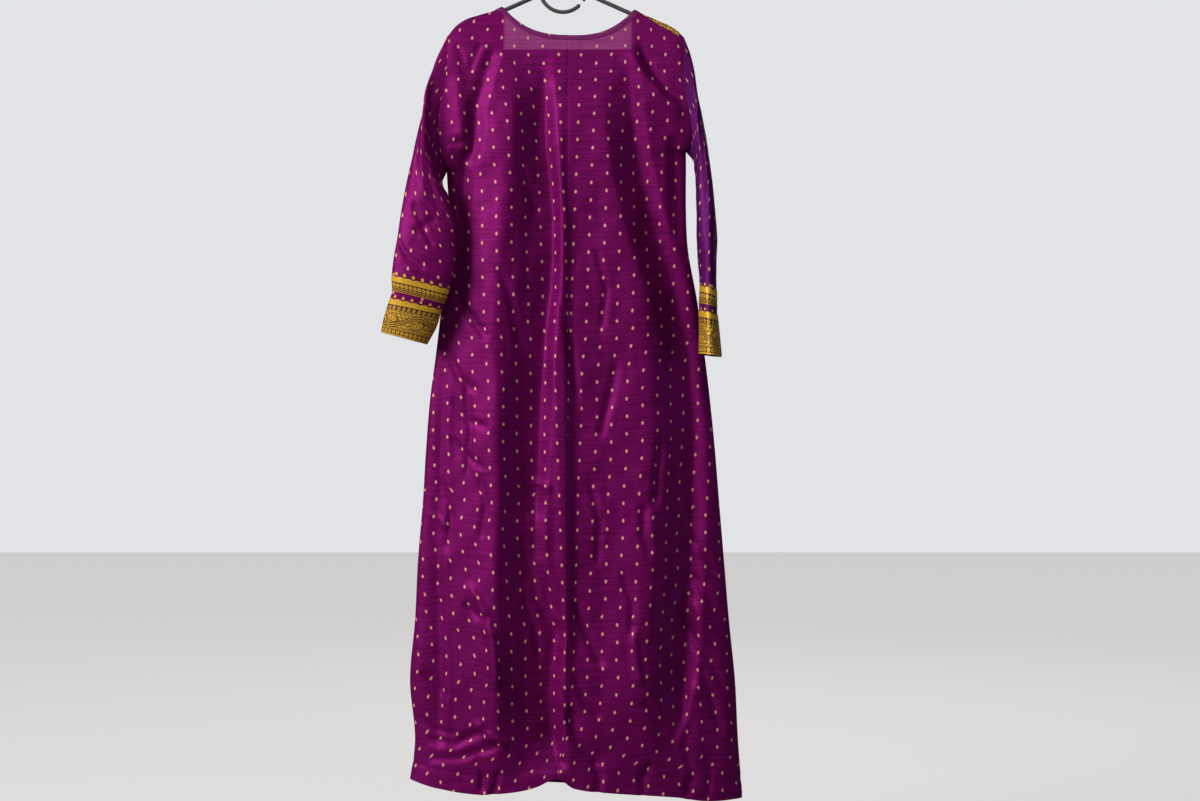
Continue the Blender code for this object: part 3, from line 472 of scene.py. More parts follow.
def relief(folds, x, z):
    """Height of the folds out of the cloth: soft sided lines with a rounded crest."""
    total = np.zeros_like(x)
    for fold in folds:
        points = fold.path
        steps = np.diff(points, axis=0)
        lengths = np.hypot(steps[:, 0], steps[:, 1])
        starts = np.concatenate(((0,), np.cumsum(lengths))) / lengths.sum()
        nearest = np.full_like(x, 9.0)
        right = np.zeros_like(x, bool)
        along = np.zeros_like(x)
        for k, (step, length) in enumerate(zip(steps, lengths)):
            dx = x - points[k, 0]
            dz = z - points[k, 1]
            t = np.clip((dx * step[0] + dz * step[1]) / length**2, 0, 1)
            away = np.hypot(dx - t * step[0], dz - t * step[1])
            closer = away < nearest
            nearest = np.where(closer, away, nearest)
            right = np.where(closer, step[0] * dz - step[1] * dx > 0, right)
            along = np.where(closer, mix(starts[k], starts[k + 1], t), along)
        share = nearest / np.where(right, fold.right, fold.left)
        soft = math.sqrt(1 + FOLD_ROUNDING)
        line = (soft - np.sqrt(share**2 + FOLD_ROUNDING)) / (soft - math.sqrt(FOLD_ROUNDING))
        ends = ease(along / FOLD_FADE) * ease((1 - along) / FOLD_FADE)
        height = mix(fold.height, fold.end_height, along)
        total += height * np.clip(line, 0, 1) ** FOLD_SHOULDER * ends
    return total


def ripples(x, z, seed):
    """Slight unevenness that hanging silk has everywhere."""
    dice = np.random.default_rng(seed)
    total = np.zeros_like(x)
    for length, height in RIPPLES:
        for _ in range(4):
            lean = dice.uniform(-0.9, 0.9)
            turn = dice.uniform(0, 2 * math.pi)
            bend = 0.35 * length * np.sin(z / (2.3 * length) + turn)
            total += height * np.sin((x + bend + lean * z) * 2 * math.pi / length + turn)
    return total


def folding(face, x, z, u, drop):
    """How far the folds stand out of the face, nothing at its seams."""
    free = 1 - u**SIDE_HOLD
    height = relief(FOLDS[face], x, z) * (free * ease((drop - FOLD_START) / FOLD_GROWTH))
    height += ripples(x, z, RIPPLE_SEED[face]) * free * ease((drop - RIPPLE_START) / RIPPLE_GROWTH)
    if face == "back":
        seam = np.abs(x - centre_x(face, z)) / SEAM_GROOVE_WIDTH
        height -= SEAM_GROOVE * np.exp(-(seam**2))
    return height


class Half:
    """The left or right half of a face, at any places between its solid's columns."""

    def __init__(self, face, side, i):
        self.face = face
        self.side = side
        self.i = np.asarray(i, float)
        self.neck_share = 1 - (1 - np.minimum(self.i, NECK_COLUMNS) / NECK_COLUMNS) ** NECK_COLUMN_SPREAD
        at_neck = self.i <= NECK_COLUMNS
        neck_x, neck_way = self.neckline(BINDING_WIDTH)
        self.inner = NECK_X[side] + SIGN[side] * BINDING_WIDTH * BINDING_SLANT
        self.outer = self.inner + SIGN[side] * BORDER_WIDTH
        self.past = self.i - NECK_COLUMNS - BORDER_COLUMNS
        tip_x, self.tip_z = CREST[side][-1, :2]
        border = mix(self.inner, self.outer, (self.i - NECK_COLUMNS) / BORDER_COLUMNS)
        shoulder = np.where(self.past <= 0, border, mix(self.outer, tip_x, self.past / SIDE_COLUMNS))
        self.top_x = np.where(at_neck, neck_x, shoulder)
        self.top_way = np.where(at_neck, neck_way, self.roll(self.top_x))
        self.tip_x = tip_x
        self.underarm_z, self.underarm_x = ARMHOLE[side][-1]
        under = np.full_like(self.i, self.underarm_z)
        self.chest_x = self.x_at(under)
        self.u = self.share_at(self.chest_x, under)
        middle = (ARMHOLE["left"][-1, 0] + ARMHOLE["right"][-1, 0]) / 2
        self.chest_z = mix(middle, self.underarm_z, self.u)
        top = np.where(self.i >= COLUMNS, self.tip_z, crest_z(self.chest_x))
        self.bottom_way = way_for_drop(top - self.chest_z)

    def roll(self, x):
        return table(CREST[self.side], 2, x) * -SIGN[self.face]

    def neckline(self, inset):
        """x and way down from the crest of the neckline, or of a line inset from it."""
        corner = NECK_X[self.side] + SIGN[self.side] * inset * BINDING_SLANT
        bottom = way_for_drop(NECK_DROP[self.face]) + inset
        share = self.neck_share
        return mix(NECK_CENTRE_X, corner, share), mix(bottom, self.roll(corner), share**NECK_CURVE)

    def x_at(self, z):
        edge = edge_x(self.side, z)
        if self.face == "back":
            return mix(centre_x("back", z), edge, 1 - (1 - self.i / COLUMNS) ** COLUMN_SPREAD)
        inside = np.where(self.i <= NECK_COLUMNS, mix(NECK_CENTRE_X, self.inner, self.i / NECK_COLUMNS),
                          self.top_x)
        share = np.clip(self.past / SIDE_COLUMNS, 0, 1)
        return np.where(self.past <= 0, inside, mix(self.outer, edge, 1 - (1 - share) ** COLUMN_SPREAD))

    def share_at(self, x, z):
        centre = centre_x(self.face, z)
        share = np.clip((x - centre) / (edge_x(self.side, z) - centre), 0, 1)
        return np.where(self.i >= COLUMNS, 1.0, share)

    def point(self, x, way, edged=True):
        """Point above the chest line, some way down from the crest."""
        down = np.clip((way - self.top_way) / (self.bottom_way - self.top_way), 0, 1)
        depth, drop = over_crest(way)
        at_edge = self.u**EDGE_HOLD
        if edged:
            moved = way > 0
            if self.face == "front":
                moved &= self.past > 0
            z = crest_z(x) - drop
            shift = edge_x(self.side, z) - mix(self.tip_x, self.underarm_x, down)
            x = x + np.where(moved, shift * self.u**4 * ease(down / 0.1), 0)
        edge_z = self.tip_z - drop
        x = mix(x, edge_x(self.side, edge_z), at_edge)
        top = mix(crest_z(x), self.tip_z, at_edge)
        z = top - drop
        full_drop = top - self.chest_z
        q = np.clip((drop - SWELL_START) / (full_drop - SWELL_START), 0, 1)
        chest = SECTIONS[0, SECTION_COLUMN[self.face]]
        open_depth = mix(CREST_RADIUS, chest, 1 - (1 - q) ** 2)
        swollen = mix(armhole_depth(drop, full_drop), open_depth, round_out(self.u))
        depth = np.where((drop > SWELL_START) & (way > 0), swollen, depth)
        return np.stack((x, SIGN[self.face] * depth, z), -1)

    def upper(self, share):
        """Row of points at a share of the way from the top edge to the chest line."""
        way = mix(self.top_way, self.bottom_way, share)
        return self.point(mix(self.top_x, self.chest_x, share), way)

    def skirt(self, share):
        """Row of points at a share of the way from the chest line to the hem."""
        end_x = self.x_at(np.full_like(self.i, SECTIONS[-1, 0]))
        at_side = self.i >= COLUMNS
        hem_z = np.where(at_side, table(HEM, 1, end_x), table(HEM, HEM_COLUMN[self.face], end_x))
        z = mix(self.chest_z, hem_z, share)
        x = self.x_at(z)
        u = self.share_at(x, z)
        depth = table(SECTIONS, SECTION_COLUMN[self.face], z) * round_out(u)
        return np.stack((x, SIGN[self.face] * depth, z), -1)

    def creased(self, points, u):
        """Points of the plain form moved out or in by the folds."""
        x, y, z = np.moveaxis(points, -1, 0)
        height = folding(self.face, x, z, u, crest_z(x) - z)
        return np.stack((x, y + SIGN[self.face] * height, z), -1)

    def grid(self):
        """The whole half: its plain form, smoothed across the chest line, then folded."""
        upper = np.array([self.upper(share) for share in UPPER_SHARES])
        skirt = np.array([self.skirt(share) for share in SKIRT_SHARES[1:]])
        below = self.share_at(skirt[..., 0], skirt[..., 2])
        u = np.concatenate((np.broadcast_to(self.u, upper.shape[:2]), below))
        points = np.concatenate((upper, skirt))
        depth = points[..., 1]
        for _ in range(CHEST_SMOOTHINGS):
            depth = np.concatenate((depth[:1], (depth[:-2] + 2 * depth[1:-1] + depth[2:]) / 4, depth[-1:]))
        near = ease(CHEST_BLEND - CHEST_BLEND * np.abs(points[..., 2] - self.chest_z) / CHEST_SPAN)
        points[..., 1] += (depth - points[..., 1]) * near * (1 - self.u**CHEST_HOLD)
        return self.creased(points, u)


def outward(points, closed, towards=None):
    """Unit normals of a grid of points, facing a direction or away from each ring's middle."""
    down = np.gradient(points, axis=0)
    if closed:
        across = np.roll(points, -1, axis=1) - np.roll(points, 1, axis=1)
    else:
        across = np.gradient(points, axis=1)
    normals = np.cross(across, down)
    lengths = np.linalg.norm(normals, axis=2, keepdims=True)
    normals = normals / np.maximum(lengths, 1e-12)
    if towards is None:
        side = (normals * (points - points.mean(axis=1, keepdims=True))).sum()
    else:
        side = (normals * np.array(towards)).sum()
    return normals if side > 0 else -normals


def travelled(points, axis):
    """Distance along a grid from its first point, along its rows or its columns."""
    steps = np.linalg.norm(np.diff(points, axis=axis), axis=2)
    start = np.zeros_like(steps[:1] if axis == 0 else steps[:, :1])
    return np.concatenate((start, np.cumsum(steps, axis=axis)), axis=axis)


def ring_travelled(points):
    """Distance round each closed ring of a grid, up to its first point again."""
    around = travelled(points, 1)
    last = np.linalg.norm(points[:, -1] - points[:, 0], axis=1)
    return np.concatenate((around, (around[:, -1] + last)[:, None]), axis=1)


Cloth = namedtuple("Cloth", "points normals around along closed")


def lifted(cloth, rise):
    """The cloth's points moved out by a rise, which may differ from place to place."""
    rise = np.broadcast_to(np.asarray(rise, float), cloth.points.shape[:2])
    return cloth.points + cloth.normals * rise[..., None]


def part_of(cloth, rows=slice(None), columns=slice(None)):
    return Cloth(cloth.points[rows, columns], cloth.normals[rows, columns],
                 cloth.around[rows, columns], cloth.along[rows, columns], cloth.closed)


def layer_faces(height, count, closed):
    """Corners of a layer's squares, and the columns of each for the cloth map."""
    i, j = np.meshgrid(np.arange(height - 1), np.arange(count if closed else count - 1), indexing="ij")
    i = i.ravel()
    j = j.ravel()
    corners = ((i, j), (i + 1, j), (i + 1, j + 1), (i, j + 1))
    vertices = np.stack([a * count + b % count for a, b in corners], -1)
    places = np.stack([a * (count + closed) + b for a, b in corners], -1)
    return vertices, places


def shell(name, cloth, rise, fall):
    """Closed skin of the cloth between a rise out of its surface and a fall below it."""
    height, count = cloth.points.shape[:2]
    closed = cloth.closed
    outer = lifted(cloth, rise)
    inner = lifted(cloth, -np.asarray(fall, float))
    vertices = np.concatenate((outer.reshape(-1, 3), inner.reshape(-1, 3)))
    quads, places = layer_faces(height, count, closed)
    half = height * count
    below = quads + half
    a, b, c = (vertices[quads[:, k]] for k in (0, 1, 3))
    facing = (np.cross(b - a, c - a) * cloth.normals.reshape(-1, 3)[quads[:, 0]]).sum()
    if facing < 0:
        quads, places = quads[:, ::-1], places[:, ::-1]
        below = below[:, ::-1]
    width = count + closed
    faces = [quads, below[:, ::-1]]
    maps = [places, places[:, ::-1]]
    j = np.arange(count if closed else count - 1)
    k = (j + 1) % count
    rims = [(i * count + j, i * count + k, i * width + j, 1, i == 0) for i in (0, height - 1)]
    if not closed:
        i = np.arange(height - 1)
        rims += [(i * count + e, (i + 1) * count + e, i * width + e, width, e > 0)
                 for e in (0, count - 1)]
    for a, b, spot, step, forward in rims:
        corners = np.stack((a, b, half + b, half + a), -1)
        spots = np.stack((spot, spot + step, spot + step, spot), -1)
        if forward == (facing > 0):
            corners, spots = corners[:, ::-1], spots[:, ::-1]
        faces.append(corners)
        maps.append(spots)
    flat = np.stack((cloth.around.ravel(), cloth.along.ravel()), -1)
    return new_piece(name, vertices, np.concatenate(faces), flat[np.concatenate(maps).ravel()])


def add_object(name, data):
    thing = bpy.data.objects.new(name, data)
    bpy.context.scene.collection.objects.link(thing)
    return thing


def new_piece(name, vertices, faces, flat):
    mesh = bpy.data.meshes.new(name)
    mesh.from_pydata(vertices.tolist(), [], faces.tolist())
    cloth_map = mesh.uv_layers.new(name="cloth")
    cloth_map.data.foreach_set("uv", flat.astype(np.float32).ravel())
    mesh.shade_smooth()
    mesh.set_sharp_from_angle(angle=math.radians(62))
    mesh.update()
    return add_object(name, mesh)


def hem_fall(cloth):
    """Depth of the cloth's inside, thicker where the hem is turned up."""
    left = cloth.along[-1] - cloth.along
    return np.where(left < HEM_TURN, HEM_THICKNESS, CLOTH)


def hem_rise(cloth):
    """Shallow line drawn in by the stitches of the hem."""
    left = cloth.along[-1] - cloth.along
    return -HEM_LINE_DEPTH * np.exp(-(((left - HEM_TURN) / HEM_LINE_WIDTH) ** 2))


def panel_cloth(half):
    """Cloth of one panel, mapped from the centre seam and from the level of the crest."""
    points = half.grid()
    around = travelled(points, 1) * SIGN[half.side]
    along = travelled(points, 0) + half.top_way - crest_z(half.top_x)
    return Cloth(points, outward(points, False, (0, SIGN[half.face], 0)), around, along, False)


def armhole_loop(side):
    """Points of the armhole seam with their turn round the sleeve, over the back first."""
    points = []
    turns = []
    height = CREST[side][-1, 1] - ARMHOLE[side][-1, 0]
    for face, kept, sign in (("back", slice(None), 1), ("front", slice(-2, 0, -1), -1)):
        half = Half(face, side, [COLUMNS])
        ways = mix(half.top_way[0], half.bottom_way[0], UPPER_SHARES)
        seam = np.array([half.upper(share)[0] for share in UPPER_SHARES])
        drop = np.clip(over_crest(ways)[1], 0, height)
        turn = np.arccos(1 - 2 * drop / height) * np.where(ways > 0, 1, -1)
        points.append(seam[kept])
        turns.append(sign * turn[kept])
    return np.concatenate(points), np.concatenate(turns)


def sleeve_cloth(side):
    """The folded sleeve, and the first and last row of each of its borders."""
    seam, turns = armhole_loop(side)
    rings = [seam]
    for row in SLEEVE_RINGS[side]:
        outer, inner, bow, depth = row[:3], row[3:6], row[6], row[7]
        middle = (outer + inner) / 2
        half = (outer - inner) / 2
        away = np.array((half[2], 0, -half[0]))
        away *= SIGN[side] / np.linalg.norm(away)
        ring = middle + half * np.cos(turns)[:, None]
        ring += away * (bow * np.abs(np.sin(turns)) ** SLEEVE_BOW_CURVE)[:, None]
        ring[:, 1] -= depth * np.sin(turns)
        rings.append(ring)
    rings = np.array(rings)
    steps = np.linalg.norm(np.diff(rings, axis=0), axis=2).mean(axis=1)
    starts = np.concatenate(((0,), np.cumsum(steps)))
    fine = np.linspace(0, starts[-1], int(starts[-1] / SLEEVE_STEP))
    kept = [starts[len(rings) - k] for pair in CUFF_BORDERS.values() for k in pair]
    near = np.abs(fine[:, None] - np.array(kept)[None]).min(axis=1)
    fine = np.sort(np.concatenate((fine[near > SLEEVE_STEP / 3], kept)))
    fine = np.unique(np.concatenate((fine, (0.0, starts[-1]))))
    points = curve(starts, rings, fine)
    around = ring_travelled(points)
    around, total = around[:, :-1], around[:, -1:]
    above = (starts[-1] - fine)[:, None]
    heights = above + 0 * around
    held = ease(fine / ARMHOLE_HOLD)[:, None] * mix(STIFF_SHARE, 1, ease(above / STIFF_CUFF))
    from_top = np.where(around > total / 2, around - total, around)
    height = relief(SLEEVE_FOLDS[side], around, heights) * ease(np.abs(from_top) / TOP_LINE_HOLD)
    height = height + ripples(from_top, heights, RIPPLE_SEED["sleeve_" + side])
    points = points + outward(points, True) * (height * held)[..., None]
    around = ring_travelled(points)
    along = np.broadcast_to(above, around.shape)
    bands = {name: tuple(int(np.argmin(np.abs(fine - starts[len(rings) - k]))) for k in pair)
             for name, pair in CUFF_BORDERS.items()}
    return Cloth(points, outward(points, True), around, along, True), bands


def binding_cloth():
    """Strip round the neckline, from the panels' top edges to the opening."""
    across = np.array(BINDING_SHARES) * BINDING_WIDTH
    places = np.linspace(0, NECK_COLUMNS, BINDING_COLUMNS + 1)
    strips = []
    for face, side, order in (("back", "left", 1), ("front", "left", -1),
                              ("front", "right", 1), ("back", "right", -1)):
        half = Half(face, side, places)
        rows = np.array([half.point(*half.neckline(inset), edged=False) for inset in across])
        rows = half.creased(rows, half.u)
        strips.append(rows[:, ::order][:, :-1])
    points = np.concatenate(strips, axis=1)
    normals = outward(points, True)
    faced = np.where(points[..., 1] < 0, -1, 1)
    normals *= np.where((normals[..., 1] * faced).sum() > 0, 1, -1)
    around = ring_travelled(points)
    return Cloth(points, normals, around, np.broadcast_to(across[:, None], around.shape), True)


def facing_cloth():
    """Straight-edged facing inside the back, under the neckline."""
    sides = []
    for side in ("left", "right"):
        half = Half("back", side, np.linspace(0, FACING_COLUMNS, FACING_GRID[0]))
        bottom = way_for_drop(crest_z(half.top_x) - FACING_BOTTOM_Z)
        rows = []
        for share in np.linspace(0, 1, FACING_GRID[1]):
            way = mix(half.top_way, bottom, share)
            down = (way - half.top_way) / (half.bottom_way - half.top_way)
            rows.append(half.point(mix(half.top_x, half.chest_x, down), way))
        sides.append(half.creased(np.array(rows), half.u))
    points = np.concatenate((sides[0][:, ::-1], sides[1][:, 1:]), axis=1)
    normals = outward(points, False, (0, -1, 0))
    return Cloth(points, normals, travelled(points, 1), travelled(points, 0), False)


def operator(operation):
    return lambda field, *others: calculate(field.tree, operation, field, *others)


class Field:
    """A number at every place of a material, for sums written as plain arithmetic."""

    def __init__(self, tree, socket):
        self.tree = tree
        self.socket = socket

    __add__ = operator("ADD")
    __sub__ = operator("SUBTRACT")
    __mul__ = operator("MULTIPLY")
    __truediv__ = operator("DIVIDE")
    __abs__ = operator("ABSOLUTE")

    def __rsub__(self, other):
        return calculate(self.tree, "SUBTRACT", other, self)

    def do(self, operation, *others):
        return calculate(self.tree, operation, self, *others)


def put(tree, value, socket):
    if isinstance(value, Field):
        tree.links.new(value.socket, socket)
    else:
        socket.default_value = value


def calculate(tree, operation, *values, clamp=False):
    node = tree.nodes.new("ShaderNodeMath")
    node.operation = operation
    node.use_clamp = clamp
    for socket, value in zip(node.inputs, values):
        put(tree, value, socket)
    return Field(tree, node.outputs[0])


def cover(distance, soft=0.0003):
    """1 inside a shape and 0 outside it, from the distance to its edge."""
    return calculate(distance.tree, "SUBTRACT", 0.5, distance / soft, clamp=True)


def either(*fields):
    total = fields[0]
    for field in fields[1:]:
        total = total.do("MAXIMUM", field)
    return total


def both(a, b):
    return a.do("MINIMUM", b)


def distance(a, b):
    return (a * a + b * b).do("SQRT")


def in_cell(s, pitch, shift=0.0):
    """Signed way from the middle of the nearest of a row of cells."""
    return ((s / pitch + shift).do("FRACT") - 0.5) * pitch


def stripes(s, pitch, half):
    return cover(abs(in_cell(s, pitch)) - half)


def blend_colour(tree, share, first, second):
    node = tree.nodes.new("ShaderNodeMix")
    node.data_type = "RGBA"
    put(tree, share, node.inputs["Factor"])
    for socket, colour in ((node.inputs["A"], first), (node.inputs["B"], second)):
        if isinstance(colour, Field):
            tree.links.new(colour.socket, socket)
        else:
            socket.default_value = (*colour, 1)
    return Field(tree, node.outputs["Result"])


def noise(tree, x, y, z=0.0, detail=2.0, rough=0.5):
    """Cloudy value from 0 to 1 at a place."""
    place = tree.nodes.new("ShaderNodeCombineXYZ")
    for socket, value in zip(place.inputs, (x, y, z)):
        put(tree, value, socket)
    node = tree.nodes.new("ShaderNodeTexNoise")
    node.inputs["Scale"].default_value = 1.0
    node.inputs["Detail"].default_value = detail
    node.inputs["Roughness"].default_value = rough
    tree.links.new(place.outputs[0], node.inputs["Vector"])
    return Field(tree, node.outputs["Fac"])


def weave(u, v, fineness, *more, **kinds):
    return noise(u.tree, u * fineness[0], v * fineness[1], *more, **kinds)


def parts_of(tree, place):
    parts = tree.nodes.new("ShaderNodeSeparateXYZ")
    tree.links.new(place, parts.inputs[0])
    return [Field(tree, socket) for socket in parts.outputs]


def cloth_place(tree):
    """Way round and way along the cloth, in metres."""
    place = tree.nodes.new("ShaderNodeUVMap")
    place.uv_map = "cloth"
    return parts_of(tree, place.outputs[0])[:2]


def object_place(tree):
    return parts_of(tree, tree.nodes.new("ShaderNodeTexCoord").outputs["Object"])


def new_material(name):
    material = bpy.data.materials.new(name)
    material.use_nodes = True
    return material, material.node_tree


def set_shader(tree, values):
    shader = tree.nodes["Principled BSDF"]
    for name, value in values.items():
        put(tree, value, shader.inputs[name])
    return shader


def set_bump(tree, shader, height, depth):
    bump = tree.nodes.new("ShaderNodeBump")
    bump.inputs["Distance"].default_value = depth
    bump.inputs["Strength"].default_value = 1.0
    put(tree, height, bump.inputs["Height"])
    tree.links.new(bump.outputs["Normal"], shader.inputs["Normal"])


# Colours
Silk = namedtuple("Silk", "bright dark sheen")
SHOT_SILK = Silk((0.305, 0.006, 0.188), (0.125, 0.002, 0.064), (0.50, 0.10, 0.95))
# Painted shade and sheen: a darker, bluer copy of the shot silk for the right sleeve and the ground of its
# cuffs, which turn away from the key light
PAINTED_SHADE_SILK = Silk((0.185, 0.012, 0.190), (0.080, 0.004, 0.076), (0.45, 0.18, 1.00))
BINDING_SILK = Silk((0.330, 0.040, 0.235), (0.150, 0.012, 0.095), (0.50, 0.35, 0.80))
FACED_SILK = (0.620, 0.130, 0.420)
GOLD = (1.000, 0.590, 0.040)
DEEP_GOLD = (0.920, 0.500, 0.025)
PALE_GOLD = (1.000, 0.680, 0.200)
DOT_RIM = (0.940, 0.380, 0.230)
DOT_MIDDLE = (1.000, 0.680, 0.520)
MAROON = (0.050, 0.003, 0.016)
PLASTIC = ((0.075, 0.080, 0.086), (0.130, 0.137, 0.146))

# Woven dots: spacing across and along the cloth, half width and half height
DOT_ACROSS = 0.028
DOT_ALONG = 0.031
DOT_HALF_WIDTH = 0.0023
DOT_HALF_HEIGHT = 0.0033
DOT_FIRST = 0.003
DOT_LEAN = 0.036
DOT_SOFTNESS = 0.35
SLEEVE_DOT_FIRST = 0.010
BINDING_DOT_FIRST = 0.006
FACING_DOT_FIRST = 0.009
SILK_METAL = 0.34
SILK_ROUGHNESS = 0.45
SILK_RELIEF = 0.00040
ZARI_RELIEF = 0.0004
PLASTIC_RELIEF = 0.00006
FACING_SIDE_SOFTNESS = 0.0050
FACING_HEM_SOFTNESS = 0.0012
SCALLOP_PITCH = 0.0165
# Unevenness of the weave: how many times finer it is round the cloth and along it
SLUBS = (9, 330)
CLOUDS = (6, 5)
THREADS = (900, 60)
GLINTS = (1500, 1500)
ZARI_SLUBS = (14, 620)
ZARI_THREADS = (260, 900)
ZARI_GLINTS = (420, 420)
SLUB_TONE = 2.0
CLOUD_TONE = 0.4
THREAD_TONE = 0.3
MIDDLE_TONE = 0.6
TOP_TONE = 1.4
# Scroll of the wide border: its double stem with bare ground beside it, its leaves, and pitch
# and half width of their hatching, of the dashes in the ground and of the rows of dashes
STEM_GAP = 0.0019
STEM_HALF = 0.0010
STEM_CLEAR = 0.0046
STEM_REACH = 0.62
LEAF_LEAN = (0.94, 0.34)
LEAF_OFFSET = 0.25
LEAF_SIZE = 1.02
LEAF_INSET = 0.0005
LEAF_CLEAR = 0.0006
HATCH = (0.0060, 0.0024)
DASHES = (0.0080, 0.0034)
DASH_ROWS = (0.0066, 0.0029)
# Rows of pips over the sleeve's borders: way below the border's top row, and radius
PIP_ROWS = {"narrow": (0.0034, 0.0029), "wide": (0.0032, 0.0026)}


def woven_dots(u, v, first, lean):
    """Ovals in half-dropped rows: the whole dot, and its pale middle."""
    leaning = u - first + v * lean if lean else u - first
    across = in_cell(leaning, DOT_ACROSS, 0.5)
    column = (leaning / DOT_ACROSS + 0.5).do("FLOOR")
    dropped = column.do("FLOORED_MODULO", 2.0) * 0.5
    along = ((v / DOT_ALONG + dropped).do("FRACT") - 0.5) * DOT_ALONG
    reach = distance(across / DOT_HALF_WIDTH, along / DOT_HALF_HEIGHT) - 1
    return cover(reach, DOT_SOFTNESS), cover(reach + 0.5, DOT_SOFTNESS)


def silk_material(name, silk, first=DOT_FIRST, lean=0.0, facing=False, pip_rows=()):
    """Shot silk with fine slubs along its weft and woven gold dots."""
    material, tree = new_material(name)
    u, v = cloth_place(tree)
    slub = weave(u, v, SLUBS, detail=4.0, rough=0.6)
    cloud = weave(u, v, CLOUDS, 3.0)
    thread = weave(u, v, THREADS, 7.0)
    tone = (slub - 0.5) * SLUB_TONE + (cloud - 0.5) * CLOUD_TONE + (thread - 0.5) * THREAD_TONE
    tone = (tone + MIDDLE_TONE).do("MAXIMUM", 0.0).do("MINIMUM", TOP_TONE)
    colour = blend_colour(tree, tone, silk.dark, silk.bright)
    if facing:
        x, _, z = object_place(tree)
        sides = cover(abs(x - FACING_MIDDLE) - FACING_HALF_WIDTH, FACING_SIDE_SOFTNESS)
        faced = both(sides, cover(FACING_BOTTOM_Z - z, FACING_HEM_SOFTNESS))
        colour = blend_colour(tree, faced * (slub * 0.8 + 0.08), colour, FACED_SILK)
    dot, middle = woven_dots(u, v, first, lean)
    glint = weave(u, v, GLINTS, 1.0)
    gold = blend_colour(tree, middle, DOT_RIM, DOT_MIDDLE)
    colour = blend_colour(tree, dot * (glint * 0.3 + 0.85), colour, gold)
    if pip_rows:
        rows = Pattern(u, v)
        pips = either(*(rows.pips(at, SCALLOP_PITCH, radius) for at, radius in pip_rows))
        colour = blend_colour(tree, pips, colour, GOLD)
        dot = either(dot, pips)
    shader = set_shader(tree, {
        "Base Color": colour,
        "Metallic": SILK_METAL - dot * 0.25,
        "Roughness": slub * 0.10 + SILK_ROUGHNESS,
        "Specular IOR Level": 0.07,
        "Sheen Weight": 0.03,
        "Sheen Roughness": 0.35,
        "Sheen Tint": (*silk.sheen, 1),
    })
    set_bump(tree, shader, slub * 0.9 + thread * 0.2 + dot * 0.8, SILK_RELIEF)
    return material


class Pattern:
    """Woven ornament of a border: s runs along it and t across it, in metres."""

    def __init__(self, s, t):
        self.s = s
        self.t = t

    def line(self, at, half):
        return cover(abs(self.t - at) - half)

    def pips(self, at, pitch, radius):
        """Round dots, each over the dip between two scallops."""
        return cover(distance(in_cell(self.s, pitch, 0.5), self.t - at) - radius)

    def rings(self, at, pitch, radius, half):
        reach = distance(in_cell(self.s, pitch), self.t - at)
        return cover(abs(reach - radius) - half)

    def flowers(self, at, pitch, radius):
        across = in_cell(self.s, pitch)
        along = self.t - at
        turn = along.do("ARCTAN2", across) * 6
        petals = turn.do("COSINE") * 0.28 + 0.72
        reach = distance(across, along)
        return both(cover(reach - petals * radius), cover(radius * 0.22 - reach))

    def zigzag(self, at, pitch, rise, half):
        wave = abs(in_cell(self.s, pitch)) * (2 * rise / pitch) - rise / 2
        return cover(abs(self.t - at - wave) - half)

    def scalloped(self, top, bottom, pitch, rise):
        """Solid band whose upper edge is a row of round bumps."""
        bump = distance(in_cell(self.s, pitch) / (pitch * 0.5), (self.t - top - rise) / rise) - 1
        band = abs(self.t - (top + rise * 0.9 + bottom) / 2) - (bottom - top - rise * 0.9) / 2
        return either(cover(bump, 0.12), cover(band))

    def scroll(self, middle, half_period, reach):
        """Double wavy stem through a gold ground, with a hatched pointed leaf in each bend."""
        cell = in_cell(self.s, half_period)
        row = (self.s / half_period).do("FLOOR").do("FLOORED_MODULO", 2.0)
        up = 1 - row * 2
        t = (self.t - middle) * up
        stem = (cell * (math.pi / half_period)).do("COSINE") * (reach * STEM_REACH)
        gap = abs(t - stem)
        stems = cover(abs(gap - STEM_GAP) - STEM_HALF)
        clear = cover(STEM_CLEAR - gap)
        raised = t + reach * LEAF_OFFSET
        lean_s = cell * LEAF_LEAN[0] + raised * LEAF_LEAN[1]
        lean_t = raised * LEAF_LEAN[0] - cell * LEAF_LEAN[1]
        above, below = (distance(lean_s, lean_t + side * reach * STEM_REACH) for side in (1, -1))
        leaf = above.do("MAXIMUM", below) - reach * LEAF_SIZE
        hatch = stripes(lean_s + abs(lean_t) * 0.9, *HATCH)
        leaves = both(cover(leaf + LEAF_INSET), hatch)
        dashes = both(stripes(self.s - t * 0.7, *DASHES), stripes(self.t - middle, *DASH_ROWS))
        ground = both(cover(LEAF_CLEAR - leaf), dashes)
        inside = cover(abs(self.t - middle) - reach)
        return both(inside, either(stems, both(clear, either(leaves, ground))))


def wide_ornament(pattern):
    """Gold and dark parts of the wide border, 68 mm from its scalloped edge to its plain edge."""
    gold = either(
        pattern.scalloped(0.0004, 0.0108, SCALLOP_PITCH, 0.0030),
        pattern.flowers(0.0155, 0.0092, 0.0042),
        pattern.line(0.0200, 0.0006),
        pattern.scroll(0.0380, 0.0500, 0.0165),
        pattern.line(0.0558, 0.0006),
        pattern.rings(0.0606, 0.0080, 0.0022, 0.0013),
        pattern.line(0.0662, 0.0014),
    )
    return gold, pattern.line(0.034, 0.034)


def narrow_ornament(pattern):
    """Gold and dark parts of the narrow border, 28 mm wide."""
    gold = either(
        pattern.scalloped(0.0004, 0.0108, SCALLOP_PITCH, 0.0030),
        pattern.rings(0.0158, 0.0080, 0.0022, 0.0013),
        pattern.line(0.0208, 0.0006),
        pattern.zigzag(0.0240, 0.0060, 0.0024, 0.0007),
        pattern.line(0.0272, 0.0006),
    )
    return gold, pattern.line(0.014, 0.014)


